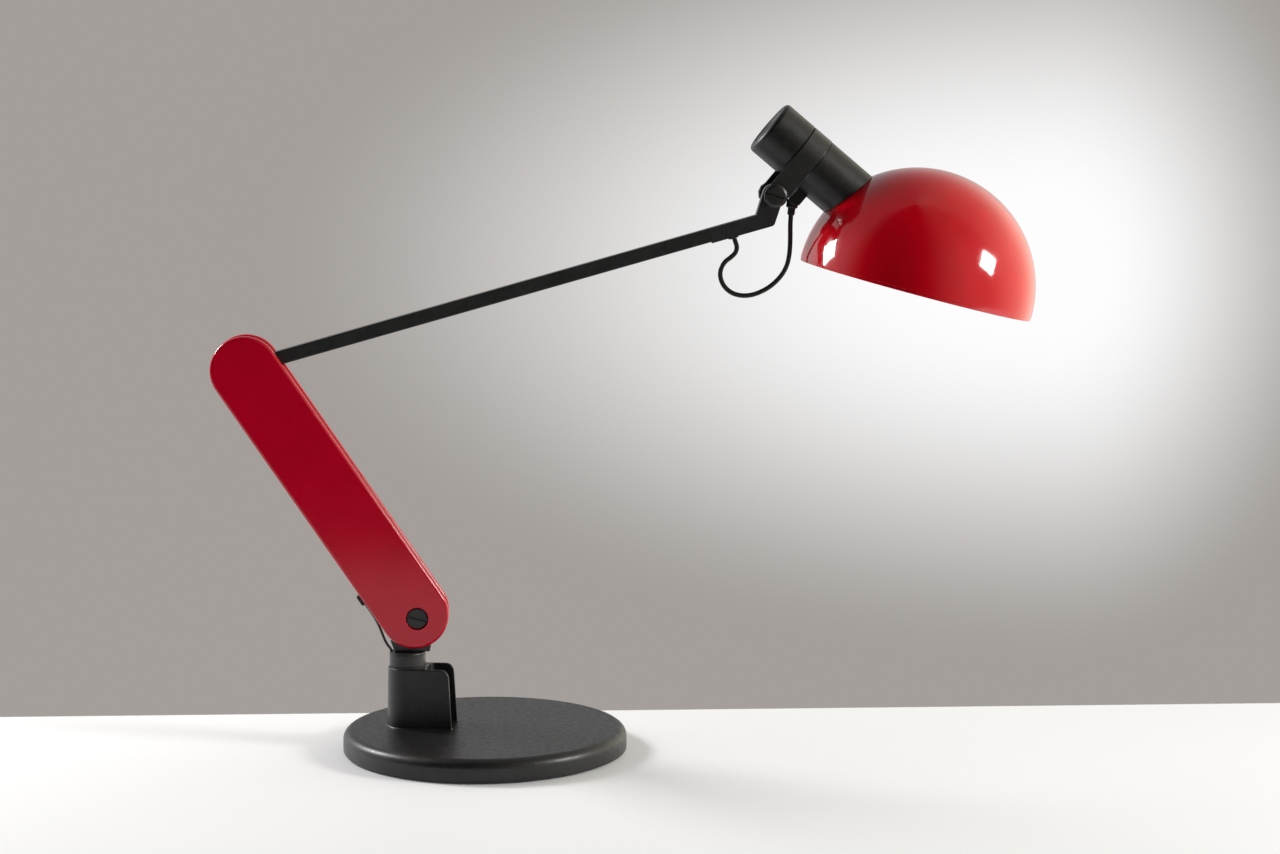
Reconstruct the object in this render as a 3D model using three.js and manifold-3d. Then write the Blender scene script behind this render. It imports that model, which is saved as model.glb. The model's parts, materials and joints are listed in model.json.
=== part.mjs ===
// Architect desk lamp: heavy round base with a swivel post, a lower arm of two plates,
// a slim upper arm and a domed head held in a yoke.
// Millimetres, +Z up. The origin is the middle of the base on the table, the arms reach
// towards +X and stay in one upright plane, and -Y is the front of the lamp.
import * as THREE from 'three';
import { mergeVertices } from 'three/addons/utils/BufferGeometryUtils.js';
import Module from 'manifold-3d';

const wasm = await Module();
wasm.setup();

// ---------------------------------------------------------------- driving sizes
const gap = 0.3; // clearance between neighbouring pieces

// Base
const baseDia = 240;
const baseHeight = 20; // table to the flat top of the disc
const baseRound = 8; // round of the top edge
const rimLift = 1.5; // the casting stands this far off the table
const recessDepth = 8; // underside recess that takes the ballast
const recessWall = 10; // rim left round the recess
const padThick = 2.5;
const baseYaw = rad(-7.75); // how far the bracket is turned from the arm plane
const postOffset = 66; // middle of the disc to the post axis
const inletRadius = 3.3; // hole of the bush that takes a mains cord

// Bracket cast onto the base
const bracketHalf = 16.5; // outer half width at the top
const bracketWall = 3;
const bracketTop = 71; // table to the top edge
const bracketReach = 37; // post axis to the open end
const bracketDraft = 0.07; // the walls grow by this share down to the disc
const bracketCorner = 6.5; // round of the two free top corners

// Swivel post
const postRadius = 15.3;
const postTop = 84;
const spindleRadius = 11;
const bushWall = 1.6;
const spindleBore = 5;
const pivotOffset = 8.7; // post axis to the lower pivot
const pivotHeight = 114; // table to the lower pivot
const blockRadius = 16; // round head of the pivot block

// Lower arm
const plateCentres = 249; // between the centres of the two round ends
const plateRadius = 29;
const plateThick = 7;
const plateGap = 14; // clear space between the two plates
const plateRound = 2.6; // round of the outer edges
const pivotBeyond = 4; // each pivot lies this far outside its round end's centre
const lowerLean = rad(-33.85);
const boltRadius = 4;
const boltHead = 9.1;
const headSink = 1.4; // bolt heads lie this far below the plate's face
const leadOut = 1.8; // the short lead comes out this far outside the plates' left edge
const coreHalf = 16;
const coreStart = 44;
const coreEnd = plateCentres - 54; // the core stops this far short of the upper round end's centre

// Upper arm
const barHigh = 11.5;
const barThick = 12;
const barWall = 1.3;
const barRise = rad(-15.71);
const barDrop = 1.5; // the bar's middle runs this far below the pivot
const hubRadius = 14;
const castingDrop = 1.1; // the end casting is this much deeper than the bar
const hingeAlong = 464.9; // pivot to the head hinge, along the bar
const barEnd = hingeAlong - 60.4; // the tube stops this far short of the hinge
const hingeAbove = 16.5; // and square to it
const elbowHalf = 8.8;
const cordEntry = barEnd + 19; // hole that takes the head cord, this far past the tube

// Head, measured from the head hinge with the socket's axis along X
const headTilt = rad(40.26);
const socketRadius = 24.2;
const socketWall = 2.4;
const axisRise = socketRadius + 16.7; // hinge to the socket's axis, clear of its wall
const capRadius = socketRadius + 0.3; // the cap stands a little proud of the housing
const capLength = 30.5;
const strapHalf = 9.25;
const strapThick = 1.5;
const knobRadius = 9.7;
const shadeRadius = 100;
const shadeThick = 1.4;
const shadeX = 142.5; // hinge to the middle of the shade, along the socket
const shadeZ = 19.2; // and square to it
const shadeTurn = rad(-25.5); // the dome's axis, turned about Y from the local +Z
const rimBelow = 3.4; // the rim lies this far past the dome's middle
const holderRadius = socketRadius - socketWall - 2; // room for air round the lamp holder
const buttonRadius = capRadius - 7.9; // the rim of the cap round the button
const buttonTravel = 2;

// Cords
const headCordDia = 4;
const leadDia = 2.2;

// ---------------------------------------------------------------- derived sizes
const postX = -postOffset * Math.cos(baseYaw);
const postY = -postOffset * Math.sin(baseYaw);
const bushOuter = spindleRadius + gap + bushWall;
const blockHalf = plateGap / 2 - 1;
const plateOut = plateGap / 2 + plateThick;
const armLength = plateCentres + 2 * pivotBeyond;
const boltBore = boltRadius + gap;
const lowerPivot = new THREE.Vector3(postX + pivotOffset, postY, pivotHeight);
const upperPivot = along(lowerPivot, lowerLean, 0, armLength);
const headHinge = along(upperPivot, barRise, hingeAlong, hingeAbove);
const legOuter = capRadius; // the strap lies in a groove, flush with the cap
const legInner = legOuter - strapThick;

// ---------------------------------------------------------------- helpers
function rad(degrees) {
  return degrees * Math.PI / 180;
}

// A point given in a frame turned by `turn` about Y, with its origin at `origin`.
function along(origin, turn, x, z) {
  return new THREE.Vector3(x, 0, z).applyAxisAngle(new THREE.Vector3(0, 1, 0), turn).add(origin);
}

// Welds a geometry and makes its faces look outwards.
function solid(geometry) {
  const plain = geometry.clone();
  plain.deleteAttribute('normal');
  plain.deleteAttribute('uv');
  const welded = mergeVertices(plain, 1e-4);
  const p = welded.attributes.position;
  const kept = [];
  let volume = 0;
  const a = new THREE.Vector3(), b = new THREE.Vector3(), c = new THREE.Vector3();
  for (let i = 0; i < welded.index.count; i += 3) {
    const [u, v, w] = [0, 1, 2].map((k) => welded.index.getX(i + k));
    if (u === v || v === w || w === u) continue;
    a.fromBufferAttribute(p, u); b.fromBufferAttribute(p, v); c.fromBufferAttribute(p, w);
    volume += a.dot(b.cross(c));
    kept.push(u, v, w);
  }
  if (volume < 0) kept.reverse();
  welded.setIndex(kept);
  return welded;
}

function toManifold(geometry) {
  const g = solid(geometry);
  return new wasm.Manifold(new wasm.Mesh({
    numProp: 3,
    vertProperties: new Float32Array(g.attributes.position.array),
    triVerts: new Uint32Array(g.index.array),
  }));
}

function fromManifold(body) {
  const mesh = body.getMesh();
  const g = new THREE.BufferGeometry();
  g.setAttribute('position', new THREE.BufferAttribute(new Float32Array(mesh.vertProperties), 3));
  g.setIndex(new THREE.BufferAttribute(new Uint32Array(mesh.triVerts), 1));
  return g;
}

function join(first, ...others) {
  return fromManifold(others.reduce((sum, g) => sum.add(toManifold(g)), toManifold(first)));
}

function cut(first, ...others) {
  return fromManifold(others.reduce((rest, g) => rest.subtract(toManifold(g)), toManifold(first)));
}

function common(first, second) {
  return fromManifold(toManifold(first).intersect(toManifold(second)));
}

// Turned shapes: `profile` is [radius, height] pairs, from axis to axis or a closed loop.
function turned(profile, segments = 24) {
  return solid(new THREE.LatheGeometry(profile.map(([r, h]) => new THREE.Vector2(r, h)), segments));
}

const onZ = (g) => g.rotateX(Math.PI / 2);
const onX = (g) => g.rotateZ(-Math.PI / 2);

// A cylinder or ring from h0 to h1 along Y, with the ends' edges broken by `edge`.
function round(outer, inner, h0, h1, edge = 0, segments = 24) {
  const e = edge;
  const outside = e > 0
    ? [[outer - e, h0], [outer, h0 + e], [outer, h1 - e], [outer - e, h1]]
    : [[outer, h0], [outer, h1]];
  return inner > 0
    ? turned([[inner, h0], ...outside, [inner, h1], [inner, h0]], segments)
    : turned([[0, h0], ...outside, [0, h1]], segments);
}

function box(x0, x1, y0, y1, z0, z1) {
  return new THREE.BoxGeometry(x1 - x0, y1 - y0, z1 - z0)
    .translate((x0 + x1) / 2, (y0 + y1) / 2, (z0 + z1) / 2);
}

// A flat piece drawn in X and Z and thick along Y from y0 to y1, with rounded rims.
function flat(shape, y0, y1, rim = 0, curveSegments = 16) {
  return new THREE.ExtrudeGeometry(shape, {
    depth: y1 - y0 - 2 * rim,
    bevelEnabled: rim > 0,
    bevelThickness: rim,
    bevelSize: rim,
    bevelOffset: -rim,
    bevelSegments: 2,
    curveSegments,
  }).rotateX(Math.PI / 2).translate(0, y1 - rim, 0);
}

// The outline round a set of points.
function hull(points) {
  const sorted = [...points].sort((p, q) => p[0] - q[0] || p[1] - q[1]);
  const turn = (o, p, q) => (p[0] - o[0]) * (q[1] - o[1]) - (p[1] - o[1]) * (q[0] - o[0]);
  const chain = (list) => {
    const out = [];
    for (const p of list) {
      while (out.length > 1 && turn(out[out.length - 2], out[out.length - 1], p) <= 1e-9) out.pop();
      out.push(p);
    }
    return out.slice(0, -1);
  };
  return [...chain(sorted), ...chain(sorted.reverse())];
}

function circlePoints(x, y, r, count = 28) {
  return Array.from({ length: count }, (_, i) => {
    const a = 2 * Math.PI * i / count;
    return [x + r * Math.cos(a), y + r * Math.sin(a)];
  });
}

function shapeOf(points) {
  return new THREE.Shape(points.map(([x, y]) => new THREE.Vector2(x, y)));
}

function regular(sides, across) {
  return shapeOf(circlePoints(0, 0, across / 2 / Math.cos(Math.PI / sides), sides));
}

// A limp round cord whose nominal route is moved so that it starts and ends at its anchors.
function cord(route, start, end, diameter, steps) {
  const last = route.length - 1;
  const first = new THREE.Vector3(...route[0]);
  const final = new THREE.Vector3(...route[last]);
  const points = route.map((p, i) => new THREE.Vector3(...p)
    .addScaledVector(start.clone().sub(first), 1 - i / last)
    .addScaledVector(end.clone().sub(final), i / last));
  return solid(new THREE.ExtrudeGeometry(shapeOf(circlePoints(0, 0, diameter / 2, 8)), {
    extrudePath: new THREE.CatmullRomCurve3(points), steps, bevelEnabled: false,
  }));
}

const finishes = {
  black: new THREE.MeshStandardMaterial({ color: 0x1b1b1c, roughness: 0.5 }),
  red: new THREE.MeshStandardMaterial({ color: 0xa50f1c, roughness: 0.2 }),
  steel: new THREE.MeshStandardMaterial({ color: 0xa8a8a8, roughness: 0.3, metalness: 1 }),
  brass: new THREE.MeshStandardMaterial({ color: 0xb59a55, roughness: 0.35, metalness: 1 }),
  pale: new THREE.MeshStandardMaterial({ color: 0xe8e6e0, roughness: 0.5 }),
};

const lamp = new THREE.Group();
lamp.name = 'architect_desk_lamp';

function frame(origin, turnAxis, turn) {
  const group = new THREE.Group();
  group.position.copy(origin);
  group.rotation[turnAxis] = turn;
  lamp.add(group);
  return (name, finish, geometry) => {
    const g = solid(geometry).toNonIndexed();
    g.computeVertexNormals();
    const mesh = new THREE.Mesh(g, finishes[finish]);
    mesh.name = name;
    group.add(mesh);
  };
}

// ---------------------------------------------------------------- base
{
  const add = frame(new THREE.Vector3(postX, postY, 0), 'z', baseYaw);
  const radius = baseDia / 2;
  const recessRadius = radius - recessWall;
  const recessTop = rimLift + recessDepth;
  const edge = Array.from({ length: 5 }, (_, i) => {
    const a = Math.PI / 2 * i / 4;
    return [radius - baseRound + baseRound * Math.cos(a), baseHeight - baseRound + baseRound * Math.sin(a)];
  });
  const disc = onZ(turned([
    [0, recessTop], [recessRadius, recessTop], [recessRadius, rimLift], [radius - 1.2, rimLift],
    [radius, rimLift + 1.5], ...edge, [0, baseHeight],
  ], 64)).translate(postOffset, 0, 0);

  // Upright hairpin wall: a round end about the post and two walls with an open slot between.
  const half = bracketHalf, slotHalf = bracketHalf - bracketWall, slotStart = half + 0.5;
  const outline = new THREE.Shape();
  outline.moveTo(bracketReach, -half);
  outline.lineTo(bracketReach, -slotHalf);
  outline.lineTo(slotStart, -slotHalf);
  outline.lineTo(slotStart, slotHalf);
  outline.lineTo(bracketReach, slotHalf);
  outline.lineTo(bracketReach, half);
  outline.lineTo(0, half);
  outline.absarc(0, 0, half, Math.PI / 2, Math.PI * 1.5, false);
  const wall = new THREE.ExtrudeGeometry(outline, {
    depth: bracketTop - baseHeight + 1 - 2, bevelThickness: 1, bevelSize: 1, bevelOffset: -1,
    bevelSegments: 2, curveSegments: 24,
  }).translate(0, 0, baseHeight);
  const p = wall.attributes.position;
  for (let i = 0; i < p.count; i++) {
    const k = 1 + bracketDraft * (bracketTop - p.getZ(i)) / (bracketTop - baseHeight);
    p.setXY(i, p.getX(i) * k, p.getY(i) * k);
  }
  const cornerX = bracketReach - bracketCorner, cornerZ = bracketTop - bracketCorner;
  const corner = cut(
    box(cornerX, bracketReach + 5, -half - 3, half + 3, cornerZ, bracketTop + 5),
    round(bracketCorner, 0, -half - 4, half + 4, 0, 48).translate(cornerX, 0, cornerZ));
  const screwSpots = [0, 1, 2].map((i) => {
    const a = rad(90 + 120 * i);
    return [postOffset + 80 * Math.cos(a), 80 * Math.sin(a)];
  });
  // The inlet points straight back whatever way the bracket is turned.
  const atInlet = (g) => g.translate(0, radius, 8.6).rotateZ(-baseYaw).translate(postOffset, 0, 0);
  add('base_casting', 'black', cut(
    join(disc, cut(wall, corner)),
    onZ(round(bushOuter + gap, 0, recessTop + 5.5, bracketTop + 1)),
    onZ(round(postRadius + gap, 0, recessTop - 1, recessTop + 5.5)),
    atInlet(round(inletRadius + 2 + gap, 0, -9, 1)),
    ...screwSpots.map(([x, y]) => onZ(round(2.3, 0, recessTop - 1, 16, 0, 16)).translate(x, y, 0))));
  const ballastLow = padThick + gap, ballastHigh = recessTop - gap;
  add('ballast_plate', 'steel', cut(
    onZ(round(recessRadius - gap, 0, ballastLow, ballastHigh, 0, 48)).translate(postOffset, 0, 0),
    ...screwSpots.map(([x, y]) => onZ(round(2.3, 0, 0, 12, 0, 16)).translate(x, y, 0)),
    ...screwSpots.map(([x, y]) => onZ(round(4.3, 0, 0, ballastLow + 2.4, 0, 20)).translate(x, y, 0))));
  add('foot_pad', 'black', cut(
    onZ(round(104, 0, 0, padThick, 0.6, 48)).translate(postOffset, 0, 0),
    ...screwSpots.map(([x, y]) => onZ(round(6, 0, -1, 4, 0, 24)).translate(x, y, 0))));
  screwSpots.forEach(([x, y], i) => add(`ballast_screw_${i + 1}`, 'steel', cut(
    onZ(turned([[0, ballastLow - 0.4], [3.6, ballastLow - 0.4], [4, ballastLow], [4, ballastLow + 2.1],
      [2, ballastLow + 2.1], [2, 15.6], [0, 15.6]], 20)).translate(x, y, 0),
    box(x - 5, x + 5, y - 0.5, y + 0.5, 0, ballastLow + 0.5))));
  add('mains_bush', 'black', atInlet(turned([
    [inletRadius, -8.4], [inletRadius + 2, -8.4], [inletRadius + 2, gap], [inletRadius + 3.4, gap],
    [inletRadius + 3.4, 1.4], [inletRadius + 2.4, 2.4], [inletRadius, 2.4], [inletRadius, -8.4],
  ])));
  add('post_bush', 'brass', onZ(round(bushOuter, spindleRadius + gap, recessTop + 6, bracketTop - 0.2)));
  add('post_washer', 'pale', onZ(round(postRadius - 0.4, spindleRadius + gap, bracketTop + 0.1, bracketTop + 1)));
}

// ---------------------------------------------------------------- swivel post
{
  const add = frame(new THREE.Vector3(postX, postY, 0), 'z', 0);
  const collarLow = bracketTop + 1.3, seat = rimLift + recessDepth + 5.5;
  const leadHole = onZ(round(leadDia / 2 + 0.6, 0, postTop - 9, postTop + 1, 0, 16))
    .translate(-(postRadius - 2.2), 0, 0);
  add('swivel_post', 'black', cut(onZ(turned([
    [spindleBore, seat - 4.5], [8, seat - 4.5], [8, seat + 0.6], [spindleRadius, seat + 0.6],
    [spindleRadius, collarLow], [postRadius - 0.6, collarLow], [postRadius, collarLow + 0.6],
    [postRadius, postTop - 0.8], [postRadius - 0.8, postTop], [spindleBore, postTop],
    [spindleBore, seat - 4.5],
  ], 36)), leadHole));
  add('post_nut_washer', 'steel', onZ(round(postRadius - 0.6, 8 + gap, seat - 1.3, seat - 0.3)));
  add('post_nut', 'steel', cut(
    new THREE.ExtrudeGeometry(regular(6, 24), { depth: 3.2, bevelEnabled: false })
      .translate(0, 0, seat - 4.8),
    onZ(round(8 + gap, 0, 0, seat, 0, 32))));
  const low = postTop + gap;
  const block = flat(shapeOf(hull([
    [-10.8, low], [-14, low + 9], [19, low], [19.5, low + 4],
    ...circlePoints(pivotOffset, pivotHeight, blockRadius),
  ])), -blockHalf, blockHalf, 0.7);
  add('pivot_block', 'black', cut(
    join(block, onZ(round(spindleBore - gap, 0, postTop - 14, low + 2))),
    round(boltBore, 0, -20, 20, 0, 32).translate(pivotOffset, 0, pivotHeight)));
}

// ---------------------------------------------------------------- lower arm
// Local +Z runs up the arm from the lower pivot, local +X lies square to it.
{
  const add = frame(lowerPivot, 'y', lowerLean);
  const low = pivotBeyond, high = pivotBeyond + plateCentres;
  const outline = shapeOf(hull([
    ...circlePoints(0, low, plateRadius, 48), ...circlePoints(0, high, plateRadius, 48)]));
  const inside = plateGap / 2;
  const headSeat = plateOut - 4.7;
  const screwHeights = [0, 1, 2].map((i) => coreStart + 12 + i * (coreEnd - coreStart - 24) / 2);
  const atScrews = (g) => screwHeights.map((z) => g.clone().translate(0, 0, z));
  add('arm_plate_front', 'red', cut(
    flat(outline, -plateOut, -inside, plateRound),
    round(boltBore, 0, -20, 0, 0, 32),
    round(boltHead + gap, 0, -20, -headSeat),
    round(boltBore, 0, -inside - 2.4, 0, 0, 32).translate(0, 0, armLength),
    ...atScrews(round(2.3, 0, -inside - 2.4, 0, 0, 16))));
  add('arm_plate_rear', 'red', cut(
    flat(outline, inside, plateOut, plateRound),
    round(boltBore, 0, 0, 20, 0, 32),
    round(boltHead + gap, 0, headSeat, 20),
    round(boltBore, 0, 0, 20, 0, 32).translate(0, 0, armLength),
    round(boltHead + gap, 0, headSeat, 20).translate(0, 0, armLength),
    ...atScrews(round(2.3, 0, 0, 20, 0, 16)),
    ...atScrews(round(4.3, 0, plateOut - 2.6, 20, 0, 24))));
  add('arm_core', 'black', cut(
    flat(shapeOf([[-coreHalf, coreStart], [coreHalf, coreStart], [coreHalf, coreEnd], [-coreHalf, coreEnd]]),
      -inside + gap, inside - gap, 0.6),
    ...atScrews(round(2.3, 0, -20, 20, 0, 16))));
  screwHeights.forEach((z, i) => add(`plate_screw_${i + 1}`, 'black', cut(
    turned([[0, -inside - 2.1], [2, -inside - 2.1], [2, plateOut - 2.3], [4, plateOut - 2.3],
      [4, plateOut - 0.5], [3.7, plateOut - 0.2], [0, plateOut - 0.2]], 20),
    box(-5, 5, plateOut - 1.1, plateOut + 1, -0.5, 0.5)).translate(0, 0, z)));

  const headTop = plateOut - headSink;
  const slot = (turn, y0, y1) => box(-boltHead - 1, boltHead + 1, y0, y1, -0.8, 0.8).rotateY(turn);
  add('lower_bolt', 'black', cut(
    turned([[0, -headTop], [boltHead - 0.8, -headTop], [boltHead, -headTop + 0.8], [boltHead, -headSeat - gap],
      [boltRadius, -headSeat - gap], [boltRadius, headTop - 0.8], [0, headTop - 0.8]]),
    slot(rad(14) - lowerLean, -headTop - 1, -headTop + 1.1)));
  add('lower_nut', 'black', cut(
    round(boltHead, boltBore, headSeat + gap, headTop, 0.8),
    ...[-1, 1].map((s) => round(1, 0, headTop - 1.2, headTop + 1, 0, 12).translate(6.6 * s, 0, 0))));
  add('upper_axle', 'steel', round(boltRadius, 0, -inside - 2.1, headTop - 0.8, 0.5, 32)
    .translate(0, 0, armLength));
  add('upper_nut', 'black', cut(
    round(boltHead, boltBore, headSeat + gap, headTop, 0.8),
    ...[-1, 1].map((s) => round(1, 0, headTop - 1.2, headTop + 1, 0, 12).translate(6.6 * s, 0, 0)))
    .translate(0, 0, armLength));
  for (const [pivot, z] of [['lower', 0], ['upper', armLength]]) {
    for (const [side, s] of [['front', -1], ['rear', 1]]) {
      add(`${pivot}_washer_${side}`, 'pale',
        round(12.5, boltBore, inside - 0.8, inside - 0.2, 0, 32).scale(1, s, 1).translate(0, 0, z));
    }
  }
  // Grommet at the arm's left edge, where the lead comes out.
  const lip = -plateRadius - leadOut - 2.4;
  add('lead_grommet', 'black', cut(
    flat(shapeOf([[lip, 33.5], [lip + 10.6, 33.5], [lip + 10.6, 43], [lip, 43]]), -4.5, 4.5, 0.7),
    onZ(round(leadDia / 2 + 0.45, 0, 30, 39, 0, 16)).translate(-plateRadius - leadOut, 0, 0)));
}

// ---------------------------------------------------------------- upper arm
// Local +X runs along the bar from the upper pivot.
{
  const add = frame(upperPivot, 'y', barRise);
  const top = -barDrop + barHigh / 2, bottom = -barDrop - barHigh / 2;
  const side = barThick / 2;
  const tenon = (x0, x1) => box(x0, x1, -side + barWall + gap, side - barWall - gap,
    bottom + barWall + gap, top - barWall - gap);
  add('upper_hub', 'black', cut(
    join(round(hubRadius, 0, -blockHalf, blockHalf, 0.6), tenon(8, 42)),
    round(boltBore, 0, -20, 20, 0, 32)));
  const tube = (x0, x1, inset) => box(x0, x1, -side + inset, side - inset, bottom + inset, top - inset);
  const barStart = hubRadius + gap;
  const grubs = [barStart + 14, barEnd - 12];
  add('arm_bar', 'black', cut(
    new THREE.ExtrudeGeometry(shapeOf(hull([[0.7, 0], [barThick - 0.7, 0], [barThick, 0.7],
      [barThick, barHigh - 0.7], [barThick - 0.7, barHigh], [0.7, barHigh], [0, barHigh - 0.7], [0, 0.7]])),
    { depth: barEnd - barStart, bevelEnabled: false })
      .translate(-side, -barHigh / 2, 0).rotateX(Math.PI / 2).rotateZ(Math.PI / 2)
      .translate(barStart, 0, -barDrop),
    tube(barStart - 1, barEnd + 1, barWall),
    ...grubs.map((x) => onZ(round(1.8, 0, bottom - 1, bottom + 3, 0, 16)).translate(x, 0, 0))));
  grubs.forEach((x, i) => add(`grub_screw_${i + 1}`, 'steel', cut(
    onZ(round(1.5, 0, bottom + 0.1, bottom + barWall + 0.1, 0, 16)).translate(x, 0, 0),
    box(x - 2, x + 2, -0.25, 0.25, bottom - 1, bottom + 0.6))));
  const under = bottom - castingDrop, start = barEnd + gap, r = 4;
  const toeX = hingeAlong - 5.3, toe = [toeX - r * 0.75, under + r];
  const stem = hull([
    ...circlePoints(hingeAlong, hingeAbove, elbowHalf, 40), ...circlePoints(...toe, r, 24),
    [toeX - 13, under], [toeX - 13, top]]);
  const beam = shapeOf([[start, under], [toeX - 8, under], [toeX - 8, top], [start, top]]);
  const entry = onZ(round(headCordDia / 2 + 1.7, 0, under - 1, under + 7, 0, 24)).translate(cordEntry, 0, 0);
  add('elbow_casting', 'black', cut(
    join(flat(shapeOf(stem), -side, side, 0.7), flat(beam, -side, side, 0.7), tenon(barEnd - 24, start + 4)),
    round(boltBore, 0, -20, 20, 0, 32).translate(hingeAlong, 0, hingeAbove), entry));
  const hole = headCordDia / 2 + 0.4, neck = headCordDia / 2 + 1.4;
  add('bar_grommet', 'black', onZ(turned([
    [hole, -1.3], [neck + 0.6, -1.3], [neck + 1, -0.9], [neck + 1, -gap], [neck, -gap], [neck, 5],
    [hole, 5], [hole, -1.3],
  ], 24)).translate(cordEntry, 0, under));
}

// ---------------------------------------------------------------- head
// Local +X runs down the socket's axis towards the shade, the origin is the head hinge.
{
  const add = frame(headHinge, 'y', headTilt);
  const onAxis = (g) => onX(g).translate(0, 0, axisRise);
  const socketStart = -strapHalf + 0.6;
  const sphere = (radius) => new THREE.SphereGeometry(radius, 48, 28).translate(shadeX, 0, shadeZ);
  const domeGap = 2.5 * gap; // wider than a gap, because the round faces have facets
  const entryX = shadeX - Math.sqrt(shadeRadius ** 2 - (axisRise - shadeZ) ** 2);

  // Yoke: a strap over the socket with two straight legs down to the hinge.
  const strap = new THREE.Shape();
  strap.moveTo(-legOuter, -20);
  strap.lineTo(-legOuter, axisRise);
  strap.absarc(0, axisRise, legOuter, Math.PI, 0, true);
  strap.lineTo(legOuter, -20);
  strap.lineTo(legInner, -20);
  strap.lineTo(legInner, axisRise);
  strap.absarc(0, axisRise, legInner, 0, Math.PI, false);
  strap.lineTo(-legInner, -20);
  const band = new THREE.ExtrudeGeometry(strap, {
    depth: 2 * strapHalf, bevelEnabled: false, curveSegments: 28,
  }).translate(0, 0, -strapHalf).rotateX(Math.PI / 2).rotateZ(Math.PI / 2);
  const legs = flat(shapeOf(hull([
    ...circlePoints(0, 0, strapHalf, 48), [-strapHalf, 90], [strapHalf, 90]])), -40, 40);
  add('head_yoke', 'black', cut(common(band, legs), round(boltBore, 0, -40, 40, 0, 32)));

  const knobLow = legOuter + gap, knobHigh = knobLow + 4;
  add('hinge_screw', 'black', cut(
    turned([[0, -knobHigh], [knobRadius - 1.2, -knobHigh], [knobRadius, -knobHigh + 1.2],
      [knobRadius, -knobLow], [boltRadius, -knobLow], [boltRadius, knobHigh + 0.6], [0, knobHigh + 0.6]], 48),
    box(-12, 12, -knobHigh - 1, -knobHigh + 1.3, -0.8, 0.8).rotateY(rad(18) - headTilt)));
  add('hinge_nut', 'black', cut(
    new THREE.ExtrudeGeometry(regular(12, 2 * knobRadius), {
      depth: 3.2, bevelThickness: 0.9, bevelSize: 0.9, bevelOffset: -0.9, bevelSegments: 2,
    }).rotateX(Math.PI / 2).translate(0, knobLow + 4.1, 0),
    round(boltBore, 0, 0, 60, 0, 32)));
  for (const [sideName, s] of [['front', -1], ['rear', 1]]) {
    add(`hinge_spacer_${sideName}`, 'black',
      round(7, boltBore, barThick / 2 + gap, legInner - gap, 0.5, 32).scale(1, s, 1));
  }

  // Socket housing, cut to the shade's round surface.
  const bore = socketRadius - socketWall;
  const grooveEnd = strapHalf + gap, grooveRadius = legInner - gap;
  add('socket_body', 'black', cut(
    onAxis(turned([
      [bore, socketStart], [grooveRadius, socketStart], [grooveRadius, grooveEnd], [socketRadius, grooveEnd],
      [socketRadius, entryX + 25], [bore, entryX + 25], [bore, socketStart],
    ], 48)),
    sphere(shadeRadius + domeGap)));
  const capEnd = -strapHalf - 0.7, capStart = capEnd - capLength;
  add('rear_cap', 'black', onAxis(turned([
    [buttonRadius + gap, capStart + 1.2], [buttonRadius + 1.6, capStart], [capRadius - 3, capStart],
    [capRadius - 0.9, capStart + 0.9], [capRadius, capStart + 3], [capRadius, capEnd],
    [bore - gap, capEnd], [bore - gap, capEnd + 8], [bore - 2.4, capEnd + 8], [bore - 2.4, capStart + 9],
    [buttonRadius + gap, capStart + 9], [buttonRadius + gap, capStart + 1.2],
  ], 32)));
  add('switch_button', 'black', onAxis(turned([
    [0, capStart + 4], [6, capStart + 3.6], [11, capStart + 2.5], [buttonRadius - 1.4, capStart + 0.9],
    [buttonRadius, capStart + 1.6], [buttonRadius, capStart + 7], [0, capStart + 7],
  ], 40)));
  add('switch_housing', 'pale', onAxis(round(bore - 2.4 - gap, 0, capStart + 7 + buttonTravel + 1, capEnd + 6, 0.6)));

  // Lamp holder, bulb and the ring that clamps the shade.
  const seat = entryX - 19.5;
  add('lamp_holder', 'pale', onAxis(turned([
    [0, seat - 6], [bore - 1, seat - 6], [bore - 1, seat + 6], [holderRadius, seat + 6],
    [holderRadius, seat + 30], [14, seat + 30], [14, seat - 1], [0, seat - 1],
  ])));
  add('bulb_cap', 'steel', onAxis(turned([
    [0, seat - 0.6], [4.5, seat - 0.6], [6, seat + 1.5], [13, seat + 5], [13, seat + 27], [0, seat + 27],
  ])));
  const neck = seat + 27 + gap, globe = seat + 74;
  const glass = [[0, neck], [13.4, neck], [14.5, neck + 8]];
  for (let i = 0; i <= 10; i++) {
    const a = rad(-52 + 142 * i / 10);
    glass.push([30 * Math.cos(a), globe + 30 * Math.sin(a)]);
  }
  glass[glass.length - 1][0] = 0;
  add('bulb_glass', 'pale', onAxis(turned(glass, 28)));
  add('shade_ring', 'pale', common(
    onAxis(round(25.5, holderRadius + gap, entryX - 5, entryX + 17.5, 0, 48)),
    sphere(shadeRadius - shadeThick - domeGap)));

  // Dome: an open shell whose axis is turned away from the socket's.
  const dome = [];
  const inner = shadeRadius - shadeThick;
  const endOut = Math.acos(-rimBelow / shadeRadius), endIn = Math.acos(-rimBelow / inner);
  for (let i = 0; i <= 14; i++) {
    dome.push([shadeRadius * Math.sin(endOut * i / 14), shadeRadius * Math.cos(endOut * i / 14)]);
  }
  for (let i = 11; i >= 0; i--) dome.push([inner * Math.sin(endIn * i / 11), inner * Math.cos(endIn * i / 11)]);
  dome[0][0] = 0;
  dome[dome.length - 1][0] = 0;
  const shell = onZ(turned(dome, 48)).rotateY(shadeTurn).translate(shadeX, 0, shadeZ);
  add('shade', 'red', cut(shell, onAxis(round(holderRadius + gap, 0, entryX - 20, entryX + 40))));

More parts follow.
